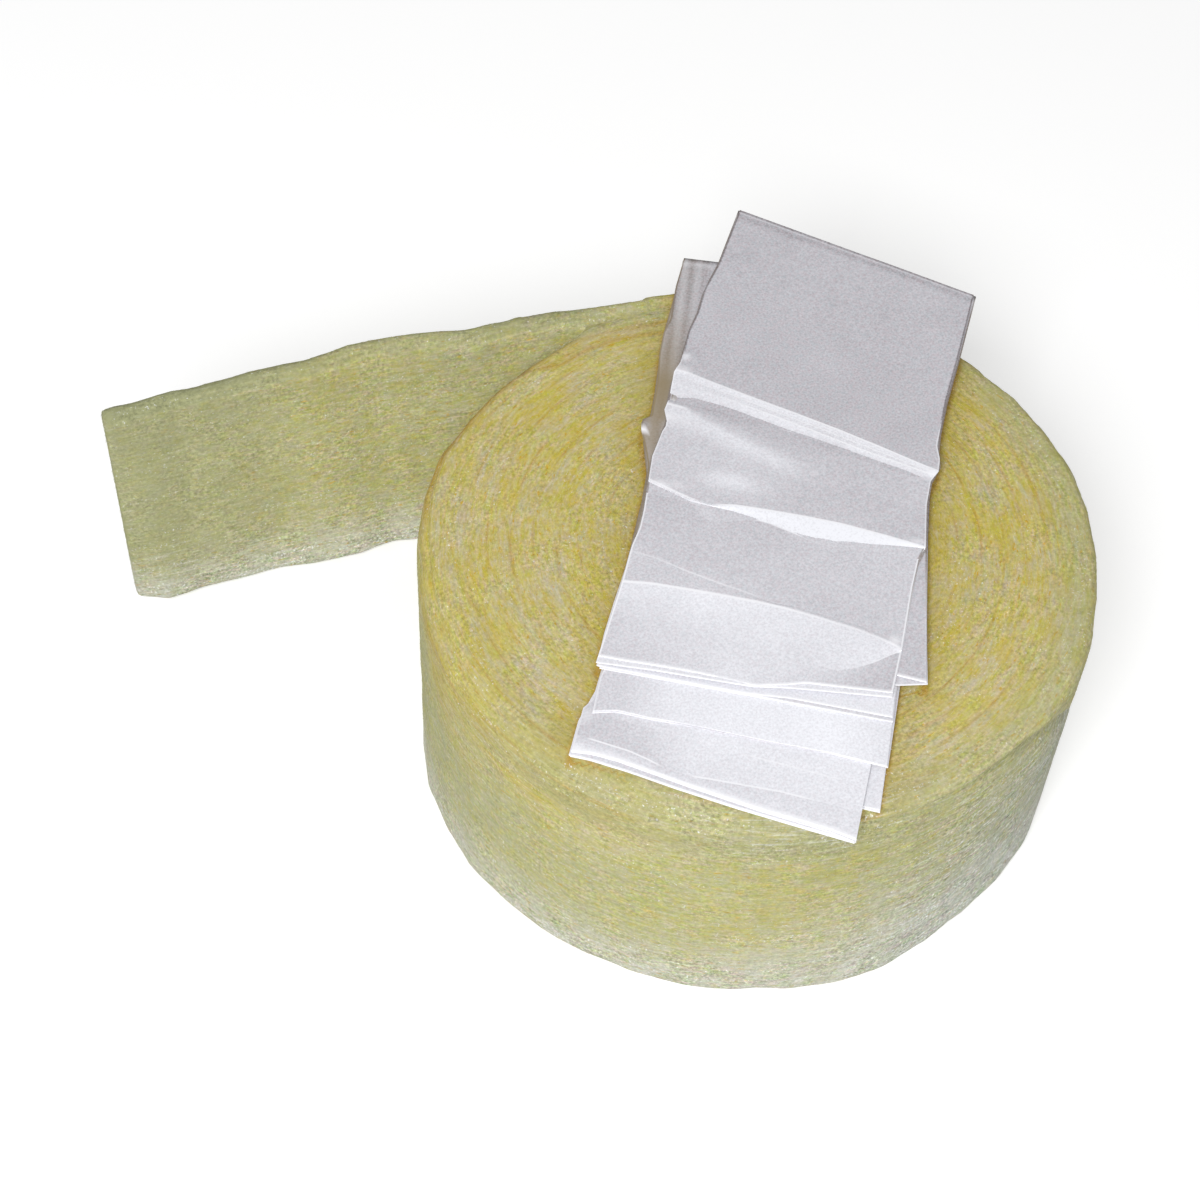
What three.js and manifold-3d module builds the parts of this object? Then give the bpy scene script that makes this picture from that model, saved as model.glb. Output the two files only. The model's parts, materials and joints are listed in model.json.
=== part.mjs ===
// Pipe-wrap insulation: a strip of glass wool wound into a coreless roll that lies on its side edge,
// with its free end standing on edge beside it, and the plastic film that finishes the wrap lying
// folded on top. Millimetres, +Z up.

import * as THREE from 'three';
import { mergeVertices } from 'three/addons/utils/BufferGeometryUtils.js';
import Module from 'manifold-3d';

const wasm = await Module();
wasm.setup();

// ---------------------------------------------------------------- driving dimensions

// Glass-wool strip, 12.7 thick when free and a little thinner where it is wound.
const stripWidth = 152.4;
const freeThickness = 12.7;
const woundThickness = 10.8;
const boreRadius = 20;
const turns = 12.5;
const tailLength = 280;
const tailSwellLength = 90; // over which the tail comes back to its free thickness
const edgeDrop = 3; // how far the soft long edges fall away at a face
const edgeReach = 3.4; // and how far in from the face they do
const stepsPerTurn = 40;
const tailSteps = 12;

// Film strip, folded zigzag into three packs that fan out a little over each other.
const filmWidth = 131;
const filmGap = 0.3; // between the film and the wool it lies on
const filmEdgeRound = 0.8;
const packBite = 0.2; // how deep a pack sits in the one below
const lowerPackLength = 255;
const lowerPackThickness = 3.2;
const middlePackLength = 238.7;
const middlePackThickness = 2.6;
const upperPackLength = 276.6;
const upperPackThickness = 3;
// Where the middle of each pack's near fold lies, from the roll's axis.
const lowerPackX = -65.3;
const lowerPackY = -133;
const middlePackX = -10.6;
const middlePackY = -69.7;
const upperPackX = -31.5;
const upperPackY = -80.5;
// The way each pack points, and how far its two folds are turned from square, in degrees.
const filmPacks = [
  {
    x: lowerPackX,
    y: lowerPackY,
    heading: 60,
    length: lowerPackLength,
    nearSkew: -6.5,
    farSkew: 0,
    thickness: lowerPackThickness,
  },
  {
    x: middlePackX,
    y: middlePackY,
    heading: 66.8,
    length: middlePackLength,
    nearSkew: -9.6,
    farSkew: -1.8,
    thickness: middlePackThickness,
  },
  {
    x: upperPackX,
    y: upperPackY,
    heading: 59.1,
    length: upperPackLength,
    nearSkew: 7.8,
    farSkew: -12.6,
    thickness: upperPackThickness,
  },
];

// ---------------------------------------------------------------- materials

const glassWool = new THREE.MeshStandardMaterial({ color: 0xcfc87e, roughness: 1, metalness: 0 });
const clearFilm = new THREE.MeshStandardMaterial({ color: 0xd9d6de, roughness: 0.25, metalness: 0 });

// ---------------------------------------------------------------- glass-wool strip

// Point number i of the long spiral where each turn lies against the next. A turn's inner face is
// at point i and its outer face one whole turn further on, at point i + stepsPerTurn.
const woundSteps = Math.round(turns * stepsPerTurn);
const firstAngle = Math.PI / 2 - (woundSteps / stepsPerTurn) * 2 * Math.PI;

function spiralPoint(i) {
  const turn = i / stepsPerTurn;
  const radius = boreRadius + woundThickness * turn;
  const angle = firstAngle + turn * 2 * Math.PI;
  return new THREE.Vector2(radius * Math.cos(angle), radius * Math.sin(angle));
}

// Sections across the strip, seen from above, from its end in the bore to its free end.
function stripSections() {
  const sections = [];
  for (let i = 0; i <= woundSteps; i += 1) {
    sections.push({ inner: spiralPoint(i), outer: spiralPoint(i + stepsPerTurn) });
  }
  // The tail leaves straight along the spiral's own tangent.
  const leaving = sections[woundSteps].inner;
  const growth = woundThickness / (2 * Math.PI);
  const along = new THREE.Vector2(
    growth * leaving.x - leaving.length() * leaving.y,
    growth * leaving.y + leaving.length() * leaving.x,
  ).normalize();
  const outward = new THREE.Vector2(along.y, -along.x);
  for (let k = 1; k <= tailSteps; k += 1) {
    const distance = (tailLength * k) / tailSteps;
    const swell = THREE.MathUtils.smoothstep(distance, 0, tailSwellLength);
    const thickness = THREE.MathUtils.lerp(woundThickness, freeThickness, swell);
    const inner = leaving.clone().addScaledVector(along, distance);
    sections.push({ inner, outer: inner.clone().addScaledVector(outward, thickness) });
  }
  return sections;
}

// The outline of a section, anticlockwise as seen by someone who looks along the strip towards its
// free end: up the outer face, over the top edge, down the inner face and back under.
function sectionOutline({ inner, outer }) {
  const thickness = inner.distanceTo(outer);
  const at = (across, height) => {
    const spot = inner.clone().lerp(outer, across / thickness);
    return new THREE.Vector3(spot.x, spot.y, height);
  };
  const top = stripWidth;
  return [
    at(thickness, edgeDrop),
    at(thickness, top - edgeDrop),
    at(thickness - edgeReach, top),
    at(edgeReach, top),
    at(0, top - edgeDrop),
    at(0, edgeDrop),
    at(edgeReach, 0),
    at(thickness - edgeReach, 0),
  ];
}
const OUTER_FACE = 0;
const INNER_FACE = 4;
const CORNERS = 8;

// The strip lofted through its sections. Turns that lie against each other are one body, so a face
// is only made where it is open: the edges all along, the bore, the outermost turn and the tail.
function makeGlassWool() {
  const outlines = stripSections().map(sectionOutline);
  const last = outlines.length - 1;
  const positions = [];
  const triangle = (a, b, c) => positions.push(...a.toArray(), ...b.toArray(), ...c.toArray());
  for (let i = 0; i < last; i += 1) {
    for (let corner = 0; corner < CORNERS; corner += 1) {
      const outerFaceCovered = corner === OUTER_FACE && i < woundSteps - stepsPerTurn;
      const innerFaceCovered = corner === INNER_FACE && i >= stepsPerTurn && i < woundSteps;
      if (outerFaceCovered || innerFaceCovered) continue;
      const next = (corner + 1) % CORNERS;
      const [a, b] = [outlines[i][corner], outlines[i][next]];
      const [c, d] = [outlines[i + 1][next], outlines[i + 1][corner]];
      triangle(a, c, b);
      triangle(a, d, c);
    }
  }
  for (let corner = 1; corner < CORNERS - 1; corner += 1) {
    triangle(outlines[0][0], outlines[0][corner], outlines[0][corner + 1]);
    triangle(outlines[last][0], outlines[last][corner + 1], outlines[last][corner]);
  }
  const geometry = new THREE.BufferGeometry();
  geometry.setAttribute('position', new THREE.Float32BufferAttribute(positions, 3));
  return mergeVertices(geometry);
}

// ---------------------------------------------------------------- film strip

function packShape(pack) {
  const heading = THREE.MathUtils.degToRad(pack.heading);
  const near = new THREE.Vector2(pack.x, pack.y);
  const along = new THREE.Vector2(Math.cos(heading), Math.sin(heading));
  const far = near.clone().addScaledVector(along, pack.length);
  // Half of a fold, from the pack's middle line to its right-hand edge.
  const halfFold = (skewDegrees) => {
    const skew = THREE.MathUtils.degToRad(skewDegrees);
    const reach = filmWidth / 2 / Math.cos(skew);
    const angle = heading - Math.PI / 2 + skew;
    return new THREE.Vector2(reach * Math.cos(angle), reach * Math.sin(angle));
  };
  const nearHalf = halfFold(pack.nearSkew);
  const farHalf = halfFold(pack.farSkew);
  return new THREE.Shape([
    near.clone().sub(nearHalf),
    near.clone().add(nearHalf),
    far.clone().add(farHalf),
    far.clone().sub(farHalf),
  ]);
}

function toSolid(geometry) {
  const plain = geometry.clone();
  plain.deleteAttribute('normal');
  plain.deleteAttribute('uv');
  const merged = mergeVertices(plain);
  return new wasm.Manifold(
    new wasm.Mesh({
      numProp: 3,
      vertProperties: new Float32Array(merged.attributes.position.array),
      triVerts: new Uint32Array(merged.index.array),
    }),
  );
}

function toGeometry(solid) {
  const mesh = solid.getMesh();
  const geometry = new THREE.BufferGeometry();
  geometry.setAttribute('position', new THREE.BufferAttribute(mesh.vertProperties, 3));
  geometry.setIndex(new THREE.BufferAttribute(mesh.triVerts, 1));
  return geometry;
}

function makeFilm() {
  let bottom = stripWidth + filmGap;
  let film = null;
  for (const pack of filmPacks) {
    const slab = new THREE.ExtrudeGeometry(packShape(pack), {
      depth: pack.thickness - 2 * filmEdgeRound,
      bevelThickness: filmEdgeRound,
      bevelSize: filmEdgeRound,
      bevelOffset: -filmEdgeRound,
      bevelSegments: 2,
    });
    slab.translate(0, 0, bottom + filmEdgeRound);
    const solid = toSolid(slab);
    film = film === null ? solid : film.add(solid);
    bottom += pack.thickness - packBite;
  }
  return toGeometry(film);
}

// ---------------------------------------------------------------- assembly

function namedMesh(name, geometry, material) {
  geometry.computeVertexNormals();
  const mesh = new THREE.Mesh(geometry, material);
  mesh.name = name;
  return mesh;
}

const insulationRoll = new THREE.Group();
insulationRoll.add(namedMesh('glass_wool_strip', makeGlassWool(), glassWool));
insulationRoll.add(namedMesh('plastic_film', makeFilm(), clearFilm));

// The origin is on the floor, under the middle of everything.
const extent = new THREE.Box3().setFromObject(insulationRoll, true);
const middle = extent.getCenter(new THREE.Vector3());
insulationRoll.position.set(-middle.x, -middle.y, -extent.min.z);

export default insulationRoll;
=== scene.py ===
import json
import math
from collections import namedtuple
from types import SimpleNamespace

import bpy
import numpy as np
from mathutils import Matrix, Vector
from mathutils.kdtree import KDTree

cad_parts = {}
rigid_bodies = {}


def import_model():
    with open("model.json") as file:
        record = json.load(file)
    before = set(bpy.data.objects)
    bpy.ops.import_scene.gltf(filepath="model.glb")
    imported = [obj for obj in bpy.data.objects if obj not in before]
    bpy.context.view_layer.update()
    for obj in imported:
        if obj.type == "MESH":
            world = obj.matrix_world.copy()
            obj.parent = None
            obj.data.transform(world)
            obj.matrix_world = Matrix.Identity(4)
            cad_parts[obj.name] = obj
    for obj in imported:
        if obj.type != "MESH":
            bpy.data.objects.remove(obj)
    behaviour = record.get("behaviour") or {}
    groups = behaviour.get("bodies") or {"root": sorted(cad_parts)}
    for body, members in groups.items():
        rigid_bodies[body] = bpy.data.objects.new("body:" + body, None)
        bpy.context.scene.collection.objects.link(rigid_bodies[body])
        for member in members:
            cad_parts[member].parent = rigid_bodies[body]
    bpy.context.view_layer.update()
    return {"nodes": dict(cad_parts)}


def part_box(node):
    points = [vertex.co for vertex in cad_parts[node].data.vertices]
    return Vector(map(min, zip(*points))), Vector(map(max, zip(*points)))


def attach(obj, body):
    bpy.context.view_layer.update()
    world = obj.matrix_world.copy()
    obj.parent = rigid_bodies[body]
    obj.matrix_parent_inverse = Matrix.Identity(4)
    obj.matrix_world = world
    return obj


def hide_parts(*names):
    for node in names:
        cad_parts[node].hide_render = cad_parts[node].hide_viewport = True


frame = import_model()

# ---------------------------------------------------------------- the glass-wool roll
# Pipe-wrap insulation: a soft strip of yellow glass wool wound on itself without a core, lying on
# its cut edges, with its free end standing on edge beside it. The strip's faces are felted, its cut
# edges show the layers of fibre, and its corners have gone round from handling.

STRIP_WIDTH = 0.1524
FREE_THICKNESS = 0.0127
TURN_THICKNESS = 0.0108
BORE_RADIUS = 0.020
TURNS = 12.5
TAIL_LENGTH = 0.280
TAIL_TURN_OUT = math.radians(0.635)  # how far the tail points out from straight along -X
TAIL_SWELL = 0.090  # over which it comes back to its free thickness
WOOL_VOXEL = 0.0023
ROLL_RADIUS = 0.160  # about where the outermost turn's face is

wool_low, wool_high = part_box("glass_wool_strip")
OUTER_RADIUS_SOUTH = BORE_RADIUS + TURN_THICKNESS * (TURNS + 0.5)
OUTER_RADIUS_EAST = BORE_RADIUS + TURN_THICKNESS * (TURNS + 0.75)
roll_axis = Vector((wool_high.x - OUTER_RADIUS_EAST, wool_low.y + OUTER_RADIUS_SOUTH, 0))
TAIL_START_RADIUS = BORE_RADIUS + TURN_THICKNESS * TURNS


def select_only(piece):
    for other in bpy.context.scene.objects:
        other.select_set(False)
    piece.select_set(True)
    bpy.context.view_layer.objects.active = piece


def apply_modifier(piece, kind, **settings):
    select_only(piece)
    modifier = piece.modifiers.new(kind.lower(), kind)
    for name, value in settings.items():
        setattr(modifier, name, value)
    bpy.ops.object.modifier_apply(modifier=modifier.name)


def read_points(piece, kind="co"):
    numbers = np.empty(len(piece.data.vertices) * 3)
    piece.data.vertices.foreach_get(kind, numbers)
    return numbers.reshape(-1, 3)


def move_points(piece, places):
    piece.data.vertices.foreach_set("co", places.ravel())
    piece.data.update()


def store(piece, name, values):
    """Keeps one number, or one vector, for each vertex."""
    kind, field = ("FLOAT", "value") if values.ndim == 1 else ("FLOAT_VECTOR", "vector")
    attribute = piece.data.attributes.new(name, kind, "POINT")
    attribute.data.foreach_set(field, values.astype(np.float32).ravel())


def ease(low, high, value):
    """A soft step from 0 at low to 1 at high."""
    t = np.clip((value - low) / (high - low), 0, 1)
    return t * t * (3 - 2 * t)


def hump(value, middle, width):
    return np.exp(-(((value - middle) / width) ** 2))


def between(stations, place):
    """Reads a table of (place, value) pairs, with straight lines in between."""
    return np.interp(place, [s[0] for s in stations], [s[1] for s in stations])


def lattice_value(cell, seed):
    """A steady random number from -1 to 1 for each cell of a lattice."""
    mixed = cell[:, 0] * 73856093 ^ cell[:, 1] * 19349663 ^ cell[:, 2] * 83492791 ^ seed * 2654435
    mixed = (mixed ^ (mixed >> 13)) * 1274126177 & 0x7FFFFFFF
    mixed = (mixed ^ (mixed >> 15)) * 668265263 & 0x7FFFFFFF
    return (mixed ^ (mixed >> 16)) / 0x3FFFFFFF - 1


def drift(places, size, seed):
    """A soft random swell from -1 to 1 over the places, size is the width of one swell."""
    scaled = np.asarray(places, float) / size
    cell = np.floor(scaled).astype(np.int64)
    inside = scaled - cell
    inside = inside * inside * (3 - 2 * inside)
    total = np.zeros(len(scaled))
    for corner in range(8):
        step = np.array([corner & 1, corner >> 1 & 1, corner >> 2 & 1])
        weight = np.prod(np.where(step, inside, 1 - inside), axis=1)
        total += weight * lattice_value(cell + step, seed)
    return total


def along_line(distance):
    """Places on one straight line, for swells that run along the strip."""
    return np.stack([distance, np.zeros(len(distance)), np.zeros(len(distance))], axis=1)


def wound_length(turns):
    return 2 * math.pi * (BORE_RADIUS * turns + TURN_THICKNESS * turns**2 / 2)


def strip_places(places):
    """Where each point is in the strip: on the tail or not, the angle round the axis and the
    distance from it, how far across its turn, and the distance along the strip."""
    x, y = places[:, 0] - roll_axis.x, places[:, 1] - roll_axis.y
    radius, angle = np.hypot(x, y), np.arctan2(y, x)
    tail_out = np.clip(-x, 0, TAIL_LENGTH)
    tail_inner = TAIL_START_RADIUS + tail_out * math.tan(TAIL_TURN_OUT)
    thickness = TURN_THICKNESS + (FREE_THICKNESS - TURN_THICKNESS) * ease(0, TAIL_SWELL, tail_out)
    roll_edge = np.sqrt(np.clip(TAIL_START_RADIUS**2 - x**2, 0, None))
    on_tail = (x < 0) & (y > (tail_inner + roll_edge) / 2)
    part_turn = (angle / (2 * math.pi) + 0.25) % 1
    turn_place = (radius - BORE_RADIUS) / TURN_THICKNESS - part_turn
    turn = np.clip(np.floor(turn_place), 0, TURNS - 1)
    turn = np.where(turn + part_turn > TURNS, turn - 1, turn)
    across = np.clip(turn_place - turn, 0, 1)
    return SimpleNamespace(
        x=x,
        y=y,
        z=places[:, 2],
        on_tail=on_tail,
        angle=angle,
        degrees=np.degrees(angle),
        radius=radius,
        across=np.where(on_tail, (y - tail_inner) / thickness, across),
        along=np.where(on_tail, wound_length(TURNS) - x, wound_length(turn + part_turn)),
        tail_inner=tail_inner,
        tail_out=tail_out,
        thickness=thickness,
    )


def outer_radius(angle):
    """How far out the outer face is: a turn's thickness more from the tail right round to it."""
    part_turn = (angle / (2 * math.pi) - 0.25) % 1
    return BORE_RADIUS + TURN_THICKNESS * (TURNS + part_turn)


def rounded(from_face, from_end, reach, drop):
    """Moves points near a square corner onto a quarter ellipse; both distances run inwards."""
    px, pz = 1 - from_face / reach, 1 - from_end / drop
    near = (px > 0) & (pz > 0)
    size = np.hypot(px, pz)
    squeeze = np.where(near, np.maximum(px, pz) / np.maximum(size, 1e-9), 1)
    return (
        np.where(near, reach * (1 - px * squeeze), from_face),
        np.where(near, drop * (1 - pz * squeeze), from_end),
    )


SAME_POINT = 0.00002  # corners nearer than this are one corner
wool_mesh = frame["nodes"]["glass_wool_strip"].data.copy()
wool = bpy.data.objects.new("glass_wool", wool_mesh)
bpy.context.scene.collection.objects.link(wool)
wool_mesh.materials.clear()
select_only(wool)
bpy.ops.object.mode_set(mode="EDIT")
bpy.ops.mesh.select_all(action="SELECT")
bpy.ops.mesh.remove_doubles(threshold=SAME_POINT)
bpy.ops.object.mode_set(mode="OBJECT")

# The turns' edges are made level first, and get their own soft relief once the wool is remeshed.
GROOVES_WITHIN = 0.010  # of the floor or the top
WALL_SKIN = 0.0005  # what is nearer the roll's outer face than this belongs to it
places = read_points(wool)
spot = strip_places(places)
inside_roll = ~spot.on_tail & (outer_radius(spot.angle) - spot.radius > WALL_SKIN)
places[inside_roll & (places[:, 2] > STRIP_WIDTH - GROOVES_WITHIN), 2] = STRIP_WIDTH
places[inside_roll & (places[:, 2] < GROOVES_WITHIN), 2] = 0
move_points(wool, places)
apply_modifier(wool, "REMESH", mode="VOXEL", voxel_size=WOOL_VOXEL, adaptivity=0)
apply_modifier(wool, "SMOOTH", factor=0.5, iterations=3)

places = read_points(wool)
spot = strip_places(places)
x, y, z, degrees = spot.x, spot.y, spot.z, spot.degrees
wall = outer_radius(spot.angle)
round_the_roll = [ROLL_RADIUS * np.cos(spot.angle), ROLL_RADIUS * np.sin(spot.angle)]
round_place = np.stack([*round_the_roll, z], axis=1)

# The wound face stands a little in or out of an even spiral, in millimetres by the angle in
# degrees: at the floor, half way up and at the rim.
FLOOR_OUT = [
    (-180, 3.2), (-159, 3.2), (-153, 1.7), (-141, 1.5), (-130, 0.5), (-120, 0.6), (-104, -0.5),
    (-93, 1.1), (-83, 2.1), (-77, 1.1), (-66, -0.8), (-54, 0.8), (-42, 2.9), (0, 1.0), (150, 1.0),
    (169, 1.6), (180, 3.2),
]
MIDDLE_OUT = [(-180, 1.2), (-60, 1.0), (-38, 2.6), (0, 1.2), (90, 0.5), (168, 1.1), (180, 1.2)]
RIM_OUT = [
    (-180, 0.8), (-70, 1.0), (-56, 2.4), (-46, 3.8), (-38, 3.0), (-27, 1.4), (-14, 1.4), (-4, 2.2),
    (4, 1.8), (12, 0.8), (18, 0.8), (24, -0.4), (30, 0.5), (60, 0.2), (95, 0), (110, -3.0), (118, -3.6),
    (127, -2.4), (137, -2.0), (141, -0.8), (145, 1.0), (152, 1.8), (159, 1.9), (168, 0.9), (180, 0.8),
]
TO_MIDDLE, TO_RIM = (0.0, 0.06), (0.09, 0.142)  # the heights over which each takes over
SWELL_DEPTH = 0.03  # how far into the roll the wound face's swell reaches
swell = between(FLOOR_OUT, degrees)
swell += (between(MIDDLE_OUT, degrees) - swell) * ease(*TO_MIDDLE, z)
swell += (between(RIM_OUT, degrees) - swell) * ease(*TO_RIM, z)
swell = swell / 1000 + 0.0005 * drift(round_place, 0.05, 5) + 0.0004 * drift(round_place, 0.02, 6)

# The last turn's edge hangs over its face at the right as a soft lip, which runs down into the face
# as a fading crease. By the angle: how high the crease lies, in millimetres, and how deep it is.
LIP_HEIGHT = [
    (-180, 130), (-104, 134), (-92, 141), (-84, 144.5), (-72, 146.5), (-61, 147), (-56, 143),
    (-51, 136), (-47, 128), (-44, 120), (-40, 111), (-34, 100), (180, 100),
]
LIP_DEPTH = [
    (-112, 0), (-96, 0.6), (-84, 1.2), (-72, 2.2), (-56, 2.6), (-46, 3.0), (-40, 1.6), (-32, 0),
]
CREASE_BELOW, CREASE_ABOVE = 0.009, 0.003  # how far the crease spreads down and up
lip_height = between(LIP_HEIGHT, degrees) / 1000
lip_depth = between(LIP_DEPTH, degrees) / 1000
crease_width = np.where(z < lip_height, CREASE_BELOW, CREASE_ABOVE)
swell -= lip_depth * hump(z, lip_height, crease_width)
near_wall = ease(SWELL_DEPTH, 0, wall - spot.radius)

# Near the tail the wool of the tail and of the turn beside it has felted together, from the floor
# of the gap between them upwards.
FELTED_START, FELTED_HEIGHT, FELTED_FALL = 0.028, 0.172, 2.2  # how far out, how high, how steep
FELTED_THINS, FELTED_ENDS = 0.052, 0.078  # how far out
GAP_LEFT, WIDEST_GAP = 0.0005, 0.012  # what stays open, and the widest that is filled
felted_up_to = FELTED_HEIGHT - FELTED_FALL * (-x - FELTED_START)
felted = ease(0.015, -0.015, z - felted_up_to) * ease(FELTED_ENDS, FELTED_THINS, -x)
felted = felted * (x < 0) * (y > 0)
wall_behind = np.sqrt(np.clip(wall**2 - x**2, 0, None))
gap = np.clip(spot.tail_inner - wall_behind - GAP_LEFT, 0, WIDEST_GAP)
swell += felted * gap * np.sin(spot.angle) * ease(0.6, 1.0, near_wall) * ~spot.on_tail
new_radius = spot.radius + near_wall * swell
wall = wall + swell

# The roll's rim: crisp at the right and the back, and quite round at the front left, where it has
# been handled.
CRISP_RIM = 0.0022
HANDLED_REACH, HANDLED_DROP = 0.0130, 0.0150
# The angle that has been handled most, and how far off it the rim is still round, fully or at all.
HANDLED_AT, HANDLED_FULLY, HANDLED_AT_ALL = (math.radians(a) for a in (-145, 45, 80))
RIM_UNEVEN = 0.25  # how much its roundness varies, as a share
FLOOR_ROUND = 0.003
off_handled = np.abs((spot.angle - HANDLED_AT + math.pi) % (2 * math.pi) - math.pi)
handled = 1 - ease(HANDLED_FULLY, HANDLED_AT_ALL, off_handled)
uneven = 1 + RIM_UNEVEN * drift(round_place * [1, 1, 0], 0.05, 3)
rim_reach = (CRISP_RIM + HANDLED_REACH * handled) * uneven
rim_drop = (CRISP_RIM + HANDLED_DROP * handled) * uneven
from_wall, from_top = rounded(wall - new_radius, STRIP_WIDTH - z, rim_reach, rim_drop)
new_radius, new_z = wall - from_wall, STRIP_WIDTH - from_top
from_wall, new_z = rounded(wall - new_radius, new_z, FLOOR_ROUND, FLOOR_ROUND)
new_radius = wall - from_wall

# The top: each turn is a little higher or lower than the next, and the grooves between turns are
# mostly felted over.
strip_line = along_line(spot.along)
TURNS_SUNK, GROOVE_DEPTH = 0.0006, 0.0003
turn_height = 0.00014 * drift(strip_line, 0.11, 11) + 0.0001 * drift(strip_line, 0.04, 12)
turn_height = turn_height - TURNS_SUNK
groove = np.clip(GROOVE_DEPTH * drift(strip_line, 0.05, 14), 0, 1)
from_middle = np.clip(np.abs(2 * spot.across - 1), 0, 1)
relief = turn_height - groove * from_middle**5
relief += 0.0003 * drift(places, 0.022, 15) + 0.0002 * drift(places, 0.007, 16)
at_top = ease(0.118, 0.150, new_z) * ease(0.0, 0.010, wall - new_radius)
new_z = np.minimum(new_z + at_top * relief, STRIP_WIDTH)
roll_x, roll_y = new_radius * np.cos(spot.angle), new_radius * np.sin(spot.angle)

# The tail: soft edges, a top edge that leans and wanders, and a lower corner that has lifted. Each
# pair is a distance out along the tail and a height or a lean outwards, in millimetres.
TOP_LEAN = [
    (0, -0.8), (25, 0.4), (45, 1.5), (68, 1.4), (90, 0.2), (98, 0.9), (109, 2.6), (120, 4.7),
    (143, 5.8), (154, 5.3), (166, 2.7), (177, 0.4), (188, 0.6), (211, -0.8), (222, -2.1), (233, -3.2),
    (244, -2.4), (255, -4.1), (266, -5.0), (280, -5.5),
]
TOP_DROP = [(0, 0), (64, 0), (67, -0.9), (72, 0.3), (80, 0), (274, 0), (280, 1.0)]
FOOT_LEAN = [
    (0, 0), (130, 0), (139, 1.0), (148, -0.2), (158, -2.2), (184, -1.7), (201, 0.3), (210, 0),
    (219, -1.0), (246, -2.3), (255, -4.1), (264, -5.2), (272, -2.3), (280, 0),
]
FOOT_LIFT = [(0, 0), (268, 0), (280, 0.3)]
EDGE_ROUND, EDGE_ROUND_AT_ROLL = 0.0055, 0.0006
thickness, tail_mm = spot.thickness, spot.tail_out * 1000
tail_place = np.stack([x, np.zeros(len(x)), z], axis=1)
inner_round = EDGE_ROUND_AT_ROLL + (EDGE_ROUND - EDGE_ROUND_AT_ROLL) * ease(0.040, 0.065, spot.tail_out)
inner, tail_top = rounded(y - spot.tail_inner, STRIP_WIDTH - z, inner_round, inner_round)
outer, tail_top = rounded(thickness - inner, tail_top, EDGE_ROUND, EDGE_ROUND)
outer, tail_floor = rounded(outer, STRIP_WIDTH - tail_top, EDGE_ROUND, EDGE_ROUND)
inner, tail_floor = rounded(thickness - outer, tail_floor, EDGE_ROUND, EDGE_ROUND)
tail_free = ease(0.02, 0.07, spot.tail_out)
height_share = tail_floor / STRIP_WIDTH
lean = between(FOOT_LEAN, tail_mm) * (1 - height_share) + between(TOP_LEAN, tail_mm) * height_share
bow = 0.0008 * drift(tail_place, 0.05, 21) + 0.0006 * drift(tail_place, 0.02, 22)
tail_y = spot.tail_inner + inner + bow * tail_free + lean / 1000
tail_z = tail_floor - ease(0.5, 1, height_share) * between(TOP_DROP, tail_mm) / 1000
tail_z += ease(0.5, 0, height_share) * between(FOOT_LIFT, tail_mm) / 1000
tail_z += 0.0005 * tail_free * ease(0.5, 1, height_share) * drift(tail_place, 0.012, 24)

new_x = np.where(spot.on_tail, x, roll_x) + roll_axis.x
new_y = np.where(spot.on_tail, tail_y, roll_y) + roll_axis.y
new_z = np.clip(np.where(spot.on_tail, tail_z, new_z), 0, None)
move_points(wool, np.stack([new_x, new_y, new_z], axis=1))
apply_modifier(wool, "SMOOTH", factor=0.5, iterations=1)
select_only(wool)
bpy.ops.object.shade_smooth()

# What the finish needs to know at each point: the way the strip runs, places that are drawn out
# along the strip for streaks, and how much of the point is a cut edge.
LONG_STREAKS, SHORT_STREAKS = 0.012, 0.045  # the smaller, the longer a streak is drawn out
places = read_points(wool)
normals = read_points(wool, "normal")
spot = strip_places(places)
x, y, z, degrees = spot.x, spot.y, spot.z, spot.degrees
angle, radius, on_tail = spot.angle, spot.radius, spot.on_tail
round_way = np.stack([-np.sin(angle), np.cos(angle), np.zeros(len(angle))], axis=1)
store(wool, "strip_way", np.where(on_tail[:, None], np.array([-1.0, 0.0, 0.0]), round_way))
tail_angle = np.where(on_tail, math.pi / 2 - x / TAIL_START_RADIUS, angle)
over_the_rim = np.where(on_tail, y + z, radius - z)
for name, streak_radius in (("long_streaks", LONG_STREAKS), ("short_streaks", SHORT_STREAKS)):
    round_it = [streak_radius * np.cos(tail_angle), streak_radius * np.sin(tail_angle)]
    store(wool, name, np.stack([*round_it, over_the_rim], axis=1))

# The golden cut edge runs over the rim and down the face where the rim is round, and stops at the
# lip elsewhere: by the angle, the height it reaches down to and how soft its end is, millimetres.
EDGE_REACH = [
    (-180, 112), (-163, 102), (-140, 106), (-117, 122), (-100, 134), (-84, 143), (-72, 147),
    (-61, 147.5), (-56, 144), (-51, 137), (-47, 129), (-44, 121), (-38, 106), (-25, 92), (-5, 98),
    (25, 118), (60, 140), (90, 150), (120, 150.5), (150, 140), (180, 112),
]
EDGE_SOFT = [
    (-180, 28), (-140, 28), (-117, 20), (-95, 10), (-72, 3), (-42, 3), (-28, 14), (0, 26), (40, 22),
    (90, 6), (120, 2), (150, 8), (180, 26),
]
reach, soft = between(EDGE_REACH, degrees) / 1000, between(EDGE_SOFT, degrees) / 1000
reach = reach + 0.6 * soft * drift(places, 0.03, 32)
cut_edge = ease(reach - soft, reach + soft, z)
cut_edge = np.maximum(cut_edge, ease(-0.3, -0.8, normals[:, 2]))
from_rim = outer_radius(angle) - radius
handled_ring = ease(0.022, 0.004, from_rim) * ease(-140, -115, degrees) * ease(95, 70, degrees)
cut_edge *= 1 - 0.6 * handled_ring

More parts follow.
